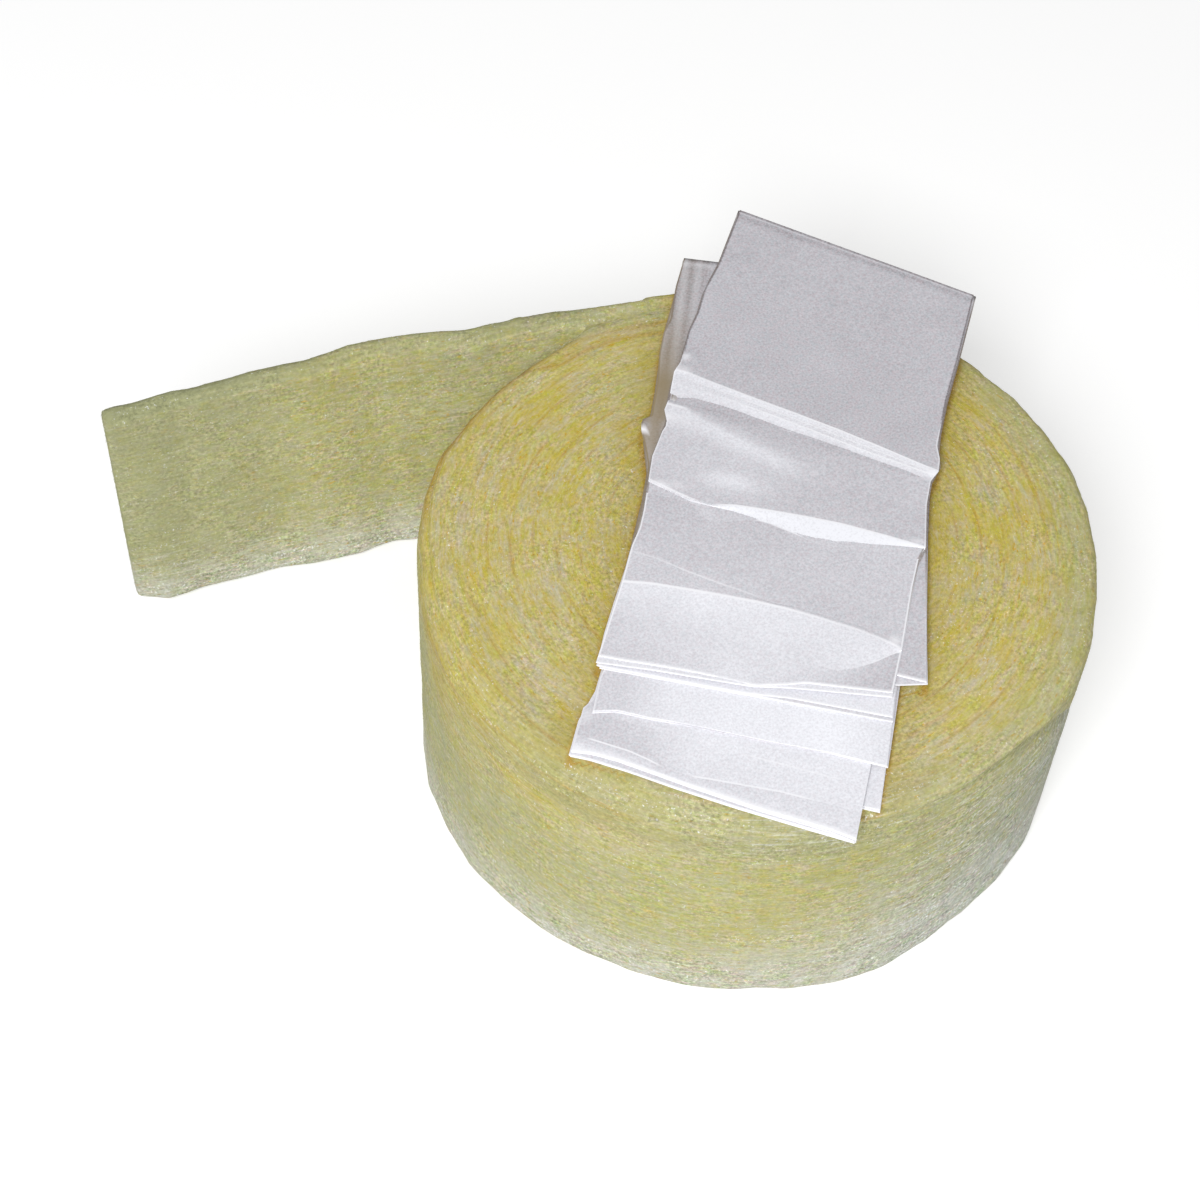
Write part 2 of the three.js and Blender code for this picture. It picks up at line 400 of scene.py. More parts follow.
# Beside the tail the top's gold gives way to the tail's khaki along a soft line, and a rusty streak
# runs a little nearer the bore: by the distance left of the axis, the distance behind it.
FELT_LINE = [(-0.012, 0.1446), (0, 0.1452), (0.035, 0.1450), (0.049, 0.1425), (0.061, 0.1385)]
RUST_LINE = [(-0.010, 0.1374), (0.003, 0.1377), (0.023, 0.1391), (0.041, 0.1359), (0.055, 0.1302)]
TAIL_CUT_EDGE = 0.06
FAR_OFF = 1.0  # for points that a line doesn't reach
beside_tail = ease(-0.012, 0.0, -x) * ease(0.075, 0.055, -x) * (y > 0) * (z > 0.12)
off_felt_line = y - between(FELT_LINE, -x)
cut_edge *= 1 - 0.85 * beside_tail * ease(-0.002, 0.003, off_felt_line)
cut_edge = np.where(on_tail, TAIL_CUT_EDGE, cut_edge)
store(wool, "cut_edge", cut_edge)
store(wool, "off_felt_line", np.where(beside_tail > 0.02, off_felt_line, FAR_OFF))
store(wool, "off_rust_line", np.where(beside_tail > 0.02, y - between(RUST_LINE, -x), FAR_OFF))

# The painted shade along the back of the rim, and the painted shade under the lip.
from_true_rim = from_rim + between(RIM_OUT, degrees) / 1000
rim_shade = hump(from_true_rim, 0.0018, 0.0026) * ease(0.138, 0.147, z)
rim_shade *= ease(108, 122, degrees) * ease(174, 150, degrees)
SHADE_BELOW, SHADE_ABOVE = 0.006, 0.002  # how far the shade under the lip spreads down and up
lip_height = between(LIP_HEIGHT, degrees) / 1000
under_lip = np.clip(between(LIP_DEPTH, degrees) / 2.0, 0, 1) * (radius > 0.15) * ~on_tail
under_lip *= hump(z, lip_height, np.where(z < lip_height, SHADE_BELOW, SHADE_ABOVE))
under_lip *= np.clip(0.65 + 0.5 * drift(along_line(spot.along), 0.03, 33), 0, 1)
under_lip *= ease(-76, -60, degrees) * ease(-36, -44, degrees)
store(wool, "painted_rim_shade", np.clip(0.65 * rim_shade * ~on_tail, 0, 1))
store(wool, "under_lip", np.clip(0.8 * under_lip, 0, 1))

# Where the wool is pale, grey or creamy: pale towards the floor, most of all at the front right,
# where the extra paleness is painted light on the shaded side, grey on the wound face's right and
# left and at the tail's end, and creamy in patches on the top.
LOW_REACH = [(-180, 55), (-115, 62), (-88, 108), (-60, 98), (-20, 60), (180, 55)]
low = ease(between(LOW_REACH, degrees) / 1000, 0.0, z)
low_right = hump(degrees, -66, 18) * ease(0.085, 0.02, z) * ~on_tail
store(wool, "pale", np.clip(low * 0.95 + 0.35 * low_right, 0, 1))
upright = ease(0.75, 0.35, normals[:, 2])
bare_face = upright * (1 - cut_edge) * ~on_tail
right = ease(0.3, 1.0, np.cos(angle - math.radians(-25))) * bare_face
right *= 0.3 + 0.7 * ease(0.152, 0.090, z)
left = ease(0.5, 1.0, np.cos(angle - math.radians(-178))) * bare_face
tail_end = ease(0.180, 0.285, spot.tail_out) * on_tail
store(wool, "grey", np.clip(right * 0.9 + 0.35 * left + 0.4 * tail_end, 0, 1))
creamy = 1.3 * ease(-0.06, -0.13, y) + 0.65 * ease(0.09, 0.13, y)
creamy += 0.45 * ease(0.125, 0.095, radius)
creamy += 1.3 * hump(degrees, -157, 14) * hump(radius, 0.126, 0.022)
store(wool, "creamy", creamy * ~on_tail)

# How coarse the felt is, and where shade is painted, darker and greyer: on the tail, most of all
# along its top and towards its end, a little on the wound face's left, and round the rim, most at
# its front.
RIM_PAINTED_SHADE = [
    (-168, 0.1), (-150, 0.45), (-143, 0.6), (-132, 0.5), (-120, 0.36), (-112, 0.3), (-100, 0.5),
    (-86, 0.35), (-72, 0.1), (-60, 0.2), (-20, 0.3), (30, 0.3), (60, 0), (180, 0.1),
]
front_rim = hump(degrees, -100, 22) * hump(z, 0.142, 0.016) * (radius > 0.14)
coarse = 0.2 + 0.8 * right + 0.5 * low + 0.4 * front_rim + 0.1 * on_tail
store(wool, "coarse", np.clip(coarse, 0, 1))
tail_top = (1 - upright) * ease(0.015, 0.045, spot.tail_out)
dusk = 0.3 * ease(0.165, 0.21, spot.tail_out) + 0.5 * tail_top + 0.35 * tail_end
dusk = on_tail * np.clip(dusk, 0, 1)
rim_band = ease(0.118, 0.132, z) * ease(0.028, 0.008, from_rim) * ~on_tail
dusk += 0.2 * left + between(RIM_PAINTED_SHADE, degrees) * rim_band
store(wool, "dusk", dusk * (1 - 0.8 * low))

# Painted light and shade: lighter in the nook between the tail and the roll, where the roll shades
# the tail, darker along the tail's top, a little uneven round the top of the wound face, and lighter
# at the front of the top.
ROUND_LIGHT = [
    (-180, -0.02), (-150, 0), (-125, -0.01), (-118, -0.03), (-100, -0.05), (-84, -0.04), (-74, -0.02),
    (-62, 0.04), (-50, 0.02), (-40, 0), (180, 0),
]
roll_face = np.sqrt(np.clip(outer_radius(angle) ** 2 - x**2, 0, None))
nook = ease(0.045, 0.004, y - roll_face) * on_tail * ease(0.02, 0.035, -x)
to_front = ease(0.2, -0.2, normals[:, 1]) * on_tail
light = 1 + upright * (0.3 * nook * ease(0.14, 0.10, -x) + 0.06 * hump(-x, 0.145, 0.04)) * to_front
near_top = ease(0.10, 0.15, z) * ease(0.0, 0.03, spot.tail_out)
light -= (0.07 + 0.06 * hump(-x, 0.052, 0.025)) * near_top * on_tail
face_top = ease(0.09, 0.12, z) * ease(0.142, 0.152, radius) * ~on_tail
light += between(ROUND_LIGHT, degrees) * face_top
light += 0.025 * ease(-0.06, -0.12, y) * ease(0.160, 0.145, radius)
store(wool, "light", light - 0.02 * tail_end + 0.04 * low_right)


class Tone:
    """What a node gives on, such as a value or a colour, to add up and mix with others."""

    def __init__(self, nodes, socket):
        self.nodes, self.socket = nodes, socket

    def other(self, output):
        return Tone(self.nodes, self.socket.node.outputs[output])

    def maths(self, operation, other=0):
        return self.nodes.add("ShaderNodeMath", {0: self, 1: other}, operation=operation)

    def __add__(self, other):
        return self.maths("ADD", other)

    def __sub__(self, other):
        return self.maths("SUBTRACT", other)

    def __mul__(self, other):
        return self.maths("MULTIPLY", other)

    def __truediv__(self, other):
        return self.maths("DIVIDE", other)

    def vector(self, operation, other, socket=1):
        inputs = {0: self, socket: other}
        return self.nodes.add("ShaderNodeVectorMath", inputs, operation=operation)

    def ramp(self, low, high, to_low=0.0, to_high=1.0):
        ends = {"From Min": low, "From Max": high, "To Min": to_low, "To Max": to_high}
        return self.nodes.add("ShaderNodeMapRange", {"Value": self, **ends}, clamp=True)

    def mix(self, first, second):
        """The first colour where this is 0, the second where it is 1."""
        return self.nodes.add("ShaderNodeMix", {0: self, 6: first, 7: second}, 2, data_type="RGBA")


class Nodes:
    """The nodes of a tree, added one after another."""

    def __init__(self, tree):
        self.tree = tree

    def plug(self, value, socket):
        if isinstance(value, Tone):
            self.tree.links.new(value.socket, socket)
        else:
            socket.default_value = value

    def add(self, kind, inputs=None, output=0, **settings):
        made = self.tree.nodes.new(kind)
        for name, value in settings.items():
            setattr(made, name, value)
        for name, value in (inputs or {}).items():
            self.plug(value, made.inputs[name])
        return Tone(self, made.outputs[output]) if made.outputs else None


class Finish(Nodes):
    """A material's nodes."""

    def __init__(self, name):
        self.material = bpy.data.materials.new(name)
        self.material.use_nodes = True
        super().__init__(self.material.node_tree)

    def object_place(self):
        return self.add("ShaderNodeTexCoord", output="Object")

    def stored(self, name, output="Fac"):
        return self.add("ShaderNodeAttribute", output=output, attribute_name=name)

    def noise(self, place, size, detail=2.0, roughness=0.5, offset=0.0):
        """Blotches of a size in metres, with finer ones on them; offset gives another pattern."""
        if offset:
            place = place.vector("ADD", (offset, offset, offset))
        inputs = {"Vector": place, "Scale": 1 / size, "Detail": detail, "Roughness": roughness}
        return self.add("ShaderNodeTexNoise", inputs)

    def bump(self, height, strength, depth):
        return self.add("ShaderNodeBump", {"Height": height, "Strength": strength, "Distance": depth})

    def show(self, inputs):
        for name, value in inputs.items():
            self.plug(value, self.tree.nodes["Principled BSDF"].inputs[name])


def shade(red, green, blue):
    """A colour from its plain 0 to 255 values."""
    plain = [v / 255 for v in (red, green, blue)]
    return [v / 12.92 if v <= 0.04045 else ((v + 0.055) / 1.055) ** 2.4 for v in plain] + [1]


# The cut edges, the felted faces, the specks of binder, the blots, the lines, painted glints and
# shades.
GOLD, CREAM = shade(196, 176, 62), shade(202, 192, 152)
KHAKI, FACE_CREAM, FACE_GOLD = shade(167, 168, 108), shade(189, 188, 152), shade(189, 180, 104)
GREY_GREEN, PALE = shade(174, 177, 156), shade(210, 211, 207)
LEAFY, MINT, OCHRE = shade(174, 188, 78), shade(164, 186, 150), shade(196, 156, 40)
ROSY, LILAC, WHITE_SPECK_AND_GLINT = shade(208, 176, 148), shade(196, 183, 180), shade(238, 240, 240)
GOLD_BLOT, LEMON_BLOT = shade(202, 180, 66), shade(185, 186, 64)
ROSY_BLOT, GREY_BLOT = shade(190, 177, 166), shade(177, 181, 167)
LINE_AND_SHADE_BROWN, FILM_SHADE_GOLD = shade(172, 132, 50), shade(178, 156, 58)
PAINTED_SHADE_KHAKI, LIP_SHADE = shade(160, 162, 121), shade(118, 116, 60)
SPECK_SHARE, CREAMY_SHARE = 0.42, 0.27

glass_wool = Finish("glass wool")
stored, noise = glass_wool.stored, glass_wool.noise
object_place = glass_wool.object_place()
long_place, short_place = stored("long_streaks", "Vector"), stored("short_streaks", "Vector")
on_cut_edge, pale, roughened = stored("cut_edge"), stored("pale"), stored("coarse")

lines = noise(long_place, 0.0018, 3, 0.6)
dashes = noise(short_place, 0.0019, 3, 0.65)
dots = noise(object_place, 0.0016, 2, 0.6)
drawn_out = lines.ramp(0.3, 0.7, -0.3, 0.3) + dashes.ramp(0.3, 0.7, -0.45, 0.45)
grain = noise(object_place, 0.016).ramp(0.40, 0.60, 0.55, 1.2) * roughened.ramp(0, 1, 0.75, 1.9)

# The cut edge is gold with cream bands. The face is khaki with cream clouds, golden in places.
edge_tone = noise(long_place, 0.0085, 3, 0.55).ramp(0.3, 0.7, 0.0, 0.56) + drawn_out
edge_tone += stored("creamy") * CREAMY_SHARE
edge_colour = edge_tone.ramp(0, 1).mix(GOLD, CREAM)
face_tone = noise(object_place, 0.045, 3, 0.6).ramp(0.3, 0.7, 0.25, 0.75) + drawn_out
face_tone = face_tone.ramp(0, 1)
golden = noise(object_place, 0.07).ramp(0.46, 0.68, 0.0, 0.4)
face_colour = golden.mix(face_tone.mix(KHAKI, FACE_CREAM), FACE_GOLD)
grey = stored("grey") * noise(long_place, 0.004, 3, 0.6).ramp(0.35, 0.65, 0.6, 1.0)
face_colour = grey.mix(face_colour, GREY_GREEN)
face_colour = (pale * face_tone.ramp(0.0, 0.7, 0.5, 1)).mix(face_colour, PALE)
wool_colour = on_cut_edge.mix(face_colour, edge_colour)

# Specks of green and rose, then broader blots, yellower and greyer, and flecks of ochre binder.
warm_speck = noise(short_place, 0.0019, 3, 0.7, offset=0.37).ramp(0.38, 0.62)
specks = warm_speck.mix(roughened.mix(LEAFY, MINT), roughened.mix(ROSY, LILAC))
wool_colour = (grain * SPECK_SHARE).mix(wool_colour, specks)
top_blots = noise(short_place, 0.008, 3, 0.8, offset=0.19)
face_blots = noise(object_place, 0.006, 3, 0.8, offset=0.19)
blots = face_blots + (top_blots - face_blots) * on_cut_edge
greener = noise(short_place, 0.005, 2, 0.6, offset=0.83).ramp(0.4, 0.6)
blot_share = pale.ramp(0, 0.9, 1, 0.5) * on_cut_edge.ramp(0, 1, 0.65, 0.85)
yellower = blots.ramp(0.5, 0.68, 0, 0.68) * blot_share
greyer = blots.ramp(0.5, 0.32, 0, 0.62) * blot_share
wool_colour = yellower.mix(wool_colour, greener.mix(GOLD_BLOT, LEMON_BLOT))
wool_colour = greyer.mix(wool_colour, greener.mix(ROSY_BLOT, GREY_BLOT))
ochre_fleck = noise(short_place, 0.0014, 1, 0.6).ramp(0.34, 0.26, 0, 0.8)
wool_colour = (ochre_fleck * on_cut_edge.ramp(0, 1, 0.75, 1)).mix(wool_colour, OCHRE)
# Painted shade, darker and greyer, along the tail's top and end and round the rim.
wool_colour = stored("dusk").mix(wool_colour, PAINTED_SHADE_KHAKI)

# The lines between the turns, which come and go, the darker lines of the felt, and painted shade
# along the back of the rim, beside the film and under the lip.
from_axis = object_place.vector("ADD", (-roll_axis.x, -roll_axis.y, 0)).vector("MULTIPLY", (1, 1, 0))
in_plan = glass_wool.add("ShaderNodeSeparateXYZ", {"Vector": from_axis}, "X")
part_turn = (in_plan.other("Y").maths("ARCTAN2", in_plan) / (2 * math.pi) + 0.25).maths("FRACT")
turn_count = (from_axis.vector("LENGTH", (0, 0, 0)).other("Value") - BORE_RADIUS) / TURN_THICKNESS
off_middle = ((turn_count - part_turn).maths("FRACT") - 0.5).maths("ABSOLUTE")
shown = noise(long_place, 0.0035, 2, 0.6).ramp(0.46, 0.60) * dashes.ramp(0.35, 0.65, 0.15, 0.75)
turn_line = off_middle.ramp(0.38, 0.50) * shown * on_cut_edge.ramp(0.5, 0.9)


def line_at(distance, half_width, strength):
    return stored(distance).maths("ABSOLUTE").ramp(0, half_width, strength, 0)


def line_on_top(distance, half_width, strength):
    return line_at(distance, half_width, strength) * on_cut_edge.ramp(0.2, 0.5)


brown = turn_line
for line in (
    stored("painted_rim_shade"),
    line_at("off_felt_line", 0.0040, 0.3),
    line_at("off_rust_line", 0.0022, 0.5),
    line_on_top("off_film", 0.0024, 0.75),
):
    brown = brown.maths("MAXIMUM", line)
# A broad painted shade of gold beside the film.
wool_colour = line_on_top("off_film", 0.019, 0.42).mix(wool_colour, FILM_SHADE_GOLD)
wool_colour = brown.mix(wool_colour, LINE_AND_SHADE_BROWN)
wool_colour = stored("under_lip").mix(wool_colour, LIP_SHADE)

# Combed streaks and painted glints of single fibres, most where the felt is coarse, and an uneven
# light.
combing = noise(long_place, 0.0015, 3, 0.6, offset=0.53)
combed_share = roughened.ramp(0.3, 0.85, 0.12, 1) * pale.ramp(0.3, 0.9, 1, 0.4)
combed = combing.ramp(0.56, 0.70, 0, 0.75) * combed_share
wool_colour = combed.mix(wool_colour, WHITE_SPECK_AND_GLINT)
tufts = noise(long_place, 0.006).ramp(0.40, 0.65, -0.03, 0.06) + roughened.ramp(0, 1, -0.08, 0.06)
glint = (noise(object_place, 0.0013, 2, 0.6, offset=0.71) + tufts).ramp(0.62, 0.74, 0, 0.75)
wool_colour = glint.mix(wool_colour, WHITE_SPECK_AND_GLINT)
uneven_light = dots.ramp(0.3, 0.7, -0.22, 0.22) + dashes.ramp(0.3, 0.7, -0.10, 0.10)
uneven_light = uneven_light * grain + 1.0 - combing.ramp(0.32, 0.49, 0.20, 0) * combed_share
# The stored light brings in the painted light and shade.
wool_colour = wool_colour.vector("SCALE", uneven_light * stored("light"), "Scale")
fibre_relief = dots * grain + dashes - turn_line * 0.5
glass_wool.show(
    {
        "Base Color": wool_colour,
        "Roughness": 0.9,
        "Specular IOR Level": 0.2,
        "Normal": glass_wool.bump(fibre_relief, 0.4, 0.0006),
    }
)
wool.data.materials.append(glass_wool.material)

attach(wool, "root")
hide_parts("glass_wool_strip")

# ---------------------------------------------------------------- the film
# The clear plastic film that finishes the wrap: one strip folded to and fro in a flat stack and laid
# on the roll. Its folds have slipped, so the stack has fanned out into packs. It is milky on top, with
# painted sheen and reflections over its panels, and white along its creases, partly as painted
# highlights.

FILM_WIDTH = 0.131
FILM_FLOOR = STRIP_WIDTH + 0.0004
LAYER_STEP = 0.0002

# The packs' folds at the near end and at the far end: their left and right ends, in millimetres
# from the roll's axis.
NEAR_LOWEST = ((-112, -91), (3, -159.5))
NEAR_LOW = ((-117.6, -94.4), (-13, -171.7))
NEAR_THIRD = ((-102, -76.5), (13.2, -140.5))
NEAR_FOURTH = ((-93.5, -55.5), (23.6, -119.5))
NEAR_MIDDLE = ((-67.6, -33.5), (45.5, -105.3))
NEAR_TOP = ((-93, -54.3), (30, -106.6))
FAR_LOWEST, FAR_LOW = ((14, 136), (123, 68)), ((8, 126), (112, 44))
FAR_THIRD, FAR_MIDDLE = ((15, 148), (126, 82)), ((23.9, 177.4), (142.6, 122))
FAR_TOP = ((63.1, 201.7), (157.6, 112.2))

# How far the near folds bow inwards, in millimetres by the share of the way across.
STRAIGHT = [(0, 0), (1, 0)]
LOW_SLIPPED = [(0, -1.0), (0.07, 0), (0.2, 0), (0.38, -0.9), (0.6, -1.2), (0.84, -0.6), (1, 0)]
LOW_BOW = [
    (0, 0), (0.07, 2.0), (0.16, 2.6), (0.29, 1.9), (0.42, 1.1), (0.67, 0.4), (0.8, 0.8), (0.92, 1.0),
    (1, 0),
]
THIRD_BOW = [(0, -1), (0.08, 1.9), (0.2, 1.3), (0.33, 1.8), (0.6, 1.1), (0.8, 1.4), (1, -0.2)]
FOURTH_BOW = [(0, 0.2), (0.5, 0.2), (0.66, 2.0), (1, 1.9)]
MIDDLE_SLIPPED = [(0, -4.5), (0.9, -4.3), (1, 0)]
TOP_SLIPPED = [(0, -0.5), (0.2, -1.7), (0.45, -4.4), (0.54, -5.4), (0.66, -4.2), (1, -3.9)]
TOP_BOW = [
    (0, 2.5), (0.1, 1.4), (0.21, 0.6), (0.33, -0.8), (0.47, -3), (0.54, -4.8), (0.64, -2.8),
    (0.71, -0.6), (1, -1.1),
]

# How many folds lie over each other, the stack's lowest first. Near and far folds take turns along
# the strip, so each near fold has two layers. The uppermost layer of each pack has a name.
NEAR_FOLDS = [(NEAR_LOWEST, STRAIGHT)] * 2
NEAR_FOLDS += [(NEAR_LOW, LOW_SLIPPED)] * 4 + [(NEAR_LOW, LOW_BOW)] * 2
NEAR_FOLDS += [(NEAR_THIRD, THIRD_BOW)] * 3
NEAR_FOLDS += [(NEAR_FOURTH, STRAIGHT)] * 2 + [(NEAR_FOURTH, FOURTH_BOW)]
NEAR_FOLDS += [(NEAR_MIDDLE, MIDDLE_SLIPPED)] * 2 + [(NEAR_MIDDLE, STRAIGHT)] * 2
NEAR_FOLDS += [(NEAR_TOP, TOP_SLIPPED)] * 2 + [(NEAR_TOP, TOP_BOW)]
FAR_FOLDS = [FAR_LOWEST] * 3 + [FAR_LOW] * 6 + [FAR_THIRD] * 3 + [FAR_MIDDLE] * 6 + [FAR_TOP] * 4
LAYERS = len(NEAR_FOLDS) * 2
LAYER_LOWEST, LAYER_LOW, LAYER_THIRD, LAYER_FOURTH = 3, 15, 21, 27
LAYER_MIDDLE, LAYER_TOP = 35, 41

# The packs' side edges have slipped as well: by the share of the way along, where the edge lies as
# a share of the way across.
TOP_LEFT = [
    (0, -0.005), (0.154, -0.002), (0.228, -0.008), (0.265, 0), (0.302, -0.006), (0.361, -0.022),
    (0.412, -0.036), (0.470, -0.028), (0.485, -0.018), (0.495, -0.030), (0.513, -0.046),
    (0.539, -0.042), (0.575, -0.050), (0.595, -0.054), (0.616, -0.042), (0.640, -0.042),
    (0.690, -0.047), (0.736, -0.036), (0.793, -0.038), (0.861, -0.015), (1, 0),
]
TOP_RIGHT = [
    (0, 0.990), (0.1, 0.993), (0.234, 0.987), (0.310, 0.990), (0.333, 1.007), (0.435, 0.981),
    (0.495, 0.979), (0.519, 1.0), (0.550, 0.997), (0.583, 0.976), (0.700, 0.977), (0.825, 0.990),
    (1, 1.003),
]
MIDDLE_LEFT = [
    (0, 0), (0.30, -0.020), (0.387, -0.031), (0.419, -0.044), (0.445, -0.056), (0.465, -0.068),
    (0.480, -0.074), (0.497, -0.076), (0.508, -0.072), (0.515, -0.060), (0.523, -0.042),
    (0.550, -0.042), (0.620, -0.037), (0.700, -0.044), (0.766, -0.038), (0.811, -0.018),
    (0.906, -0.015), (1, 0.004),
]
MIDDLE_RIGHT = [(0, 1.0), (0.1, 0.992), (0.325, 0.985), (1, 1.0)]
TURNED_RIGHT = [
    (0, 1.0), (0.05, 0.989), (0.1, 0.980), (0.2, 0.962), (0.3, 0.943), (0.4, 0.925), (0.5, 0.917),
    (0.65, 0.918), (0.75, 0.930), (0.9, 0.957), (0.96, 0.975), (1, 1.0),
]
FOURTH_LEFT = [
    (0, 0), (0.1, 0.004), (0.15, 0.015), (0.2, 0.025), (0.3, 0.034), (0.4, 0.036), (0.45, 0.032),
    (0.55, 0.0), (1, 0),
]
LOW_LEFT = [
    (0, 0), (0.095, 0), (0.118, 0.025), (0.15, 0.030), (0.2, 0.032), (0.3, 0.022), (0.4, 0.016),
    (0.5, 0.013), (0.6, 0.005), (1, 0),
]
EVEN_RIGHT = [(0, 1), (1, 1)]


def side_edges(layer):
    if layer > LAYER_MIDDLE:
        return TOP_LEFT, TOP_RIGHT
    if layer > LAYER_FOURTH:
        return MIDDLE_LEFT, TURNED_RIGHT if layer == LAYER_MIDDLE else MIDDLE_RIGHT
    return FOURTH_LEFT if layer > LAYER_THIRD else LOW_LEFT, EVEN_RIGHT


# The paths of the creases over the top layer, from the near fold to the far one: pairs of a share
# of the way across and a share of the way along.
TOP_FOLD = [
    (0, 0.009), (0.1, 0.005), (0.21, 0.002), (0.33, -0.003), (0.47, -0.011), (0.54, -0.018),
    (0.64, -0.010), (0.71, -0.002), (1, -0.004),
]
CORNER_LINE = [
    (0, 0.077), (0.6, 0.05), (0.80, 0.030), (0.86, 0.040), (0.92, 0.058), (0.98, 0.084), (1, 0.086),
]
NEAR_CREASE = [
    (0, 0.154), (0.1, 0.158), (0.23, 0.157), (0.36, 0.155), (0.48, 0.152), (0.58, 0.147), (0.7, 0.137),
    (0.84, 0.123), (0.92, 0.110), (0.98, 0.098), (1, 0.092),
]
FAINT_CREASE = [
    (0, 0.216), (0.1, 0.209), (0.2, 0.195), (0.31, 0.182), (0.44, 0.168), (0.55, 0.156), (0.60, 0.157),
    (0.7, 0.149), (0.84, 0.135), (0.92, 0.122), (0.98, 0.110), (1, 0.104),
]
SLANT_FOOT = [
    (0, 0.356), (0.16, 0.334), (0.24, 0.331), (0.34, 0.327), (0.45, 0.322), (0.56, 0.309),
    (0.62, 0.302), (0.69, 0.298), (0.80, 0.306), (0.90, 0.317), (1, 0.328),
]
SLANT = [
    (0, 0.364), (0.065, 0.354), (0.16, 0.341), (0.24, 0.337), (0.32, 0.345), (0.44, 0.348),
    (0.57, 0.350), (0.70, 0.350), (0.86, 0.343), (1, 0.334),
]
SHEEN_LINE = [(0, 0.527), (0.07, 0.526), (0.2, 0.50), (0.44, 0.463), (0.52, 0.45), (1, 0.42)]
RIDGE_FOOT = [
    (0, 0.540), (0.06, 0.541), (0.16, 0.543), (0.27, 0.541), (0.40, 0.534), (0.52, 0.528),
    (0.61, 0.521), (0.72, 0.512), (0.84, 0.503), (0.96, 0.496), (1, 0.494),
]
RIDGE_MIDDLE = [(0, 0.574), (0.21, 0.568), (0.39, 0.556), (0.555, 0.543), (0.72, 0.529), (1, 0.509)]
RIDGE_LINE = [(0, 0.588), (0.21, 0.579), (0.39, 0.566), (0.555, 0.554), (0.72, 0.539), (1, 0.5145)]
RIDGE = [
    (0, 0.600), (0.05, 0.600), (0.135, 0.594), (0.30, 0.583), (0.47, 0.572), (0.63, 0.560),
    (0.79, 0.544), (0.95, 0.526), (1, 0.521),
]
LOW_PACK_LENGTH = 248  # millimetres
LOW_FOLD = [(share, inwards / LOW_PACK_LENGTH) for share, inwards in LOW_BOW]

# A crease has a path, and by the share of the way across, or as one number for all of it: how white
# it is, partly as a painted highlight, how milky the film is just before and just after it, with its
# painted sheen, and how far it stands up, in millimetres. Its white line has one width, in millimetres.
Crease = namedtuple("Crease", "path white before after lift width")
TOP_CREASES = (
    Crease(TOP_FOLD, 1, 0.9, [(0, 0.55), (0.3, 0.8), (0.6, 0.75), (0.85, 0.35), (1, 0.2)], -0.3, 1.5),
    Crease(
        CORNER_LINE,
        white=[(0, 0), (0.83, 0), (0.9, 0.35), (1, 0.9)],
        before=[(0, 0.65), (0.3, 0.85), (0.7, 0.8), (0.85, 0.45), (1, 0.25)],
        after=[(0, 0.65), (0.3, 0.85), (0.7, 0.85), (0.88, 0.95), (1, 1.0)],
        lift=0.1,
        width=0.5,
    ),
    Crease(
        NEAR_CREASE,
        white=[(0, 1), (0.6, 0.9), (0.85, 0.5), (1, 0.8)],
        before=[(0, 0.9), (0.3, 1.1), (1, 0.85)],
        after=[(0, 0.45), (1, 0.5)],
        lift=0.5,
        width=0.8,
    ),
    Crease(FAINT_CREASE, [(0, 0.2), (0.2, 0.5), (0.4, 0.45), (0.5, 0), (1, 0)], 0.44, 0.38, 0.25, 0.5),
    Crease(
        SLANT_FOOT,
        white=[(0, 0.5), (0.2, 0.3), (0.24, 0.1), (0.5, 0.5), (0.65, 0.2), (1, 0.2)],
        before=[(0, 0.2), (0.4, 0.3), (0.6, 0.45), (1, 0.45)],
        after=[(0, 0.5), (0.23, 0.5), (0.28, 1.3), (1, 1.4)],
        lift=-0.25,
        width=0.5,
    ),
    Crease(
        SLANT,
        white=[(0, 0.8), (0.16, 0.9), (0.19, 0.1), (0.23, 0.1), (0.28, 1), (1, 0.9)],
        before=[(0, 0.6), (0.23, 0.5), (0.28, 1.3), (1, 1.4)],
        after=[(0, 0.35), (0.4, 0.35), (1, 0.2)],
        lift=0.35,
        width=0.6,
    ),
    Crease(
        SHEEN_LINE,
        white=[(0, 0.8), (0.06, 0.7), (0.08, 0), (1, 0)],
        before=[(0, 0.55), (0.3, 0.5), (0.6, 0.3), (1, 0.25)],
        after=[(0, 0.36), (0.3, 0.36), (1, 0.31)],
        lift=0.1,
        width=0.7,
    ),
    Crease(
        RIDGE_FOOT,
        white=0,
        before=[(0, -0.1), (0.4, 0.1), (0.7, 0.25), (1, 0.3)],
        after=[(0, 0.5), (0.4, 0.75), (0.7, 0.45), (1, 0.5)],
        lift=[(0, -0.5), (0.5, -0.3), (1, -0.1)],
        width=0.5,
    ),
    Crease(
        RIDGE_MIDDLE,
        white=[(0, 0), (0.2, 0.3), (0.4, 0.9), (1, 1)],
        before=[(0, 0.9), (0.3, 1.0), (1, 1.0)],
        after=0.8,
        lift=[(0, 0.4), (1, 0.3)],
        width=0.5,
    ),
    Crease(RIDGE_LINE, [(0, 0), (0.2, 0.6), (1, 0.9)], 0.8, 0.9, [(0, 0.6), (1, 0.4)], 0.4),
    Crease(
        RIDGE,
        white=[(0, 0.7), (0.3, 0.8), (0.5, 1), (1, 1)],
        before=1.0,
        after=0.15,
        lift=[(0, 0.9), (0.5, 0.8), (1, 0.5)],
        width=0.6,
    ),
    Crease([(0, 0.97), (1, 0.975)], 0, 0.18, 0.18, 0, 0),
    Crease([(0, 0.986), (1, 0.986)], 0, -0.15, -0.15, 0, 0),
    Crease([(0, 0.9935), (1, 0.9935)], 0.35, 0.0, -0.2, 0, 0.45),
    Crease([(0, 1), (1, 1)], 0, -0.8, 0, 0, 0),
)
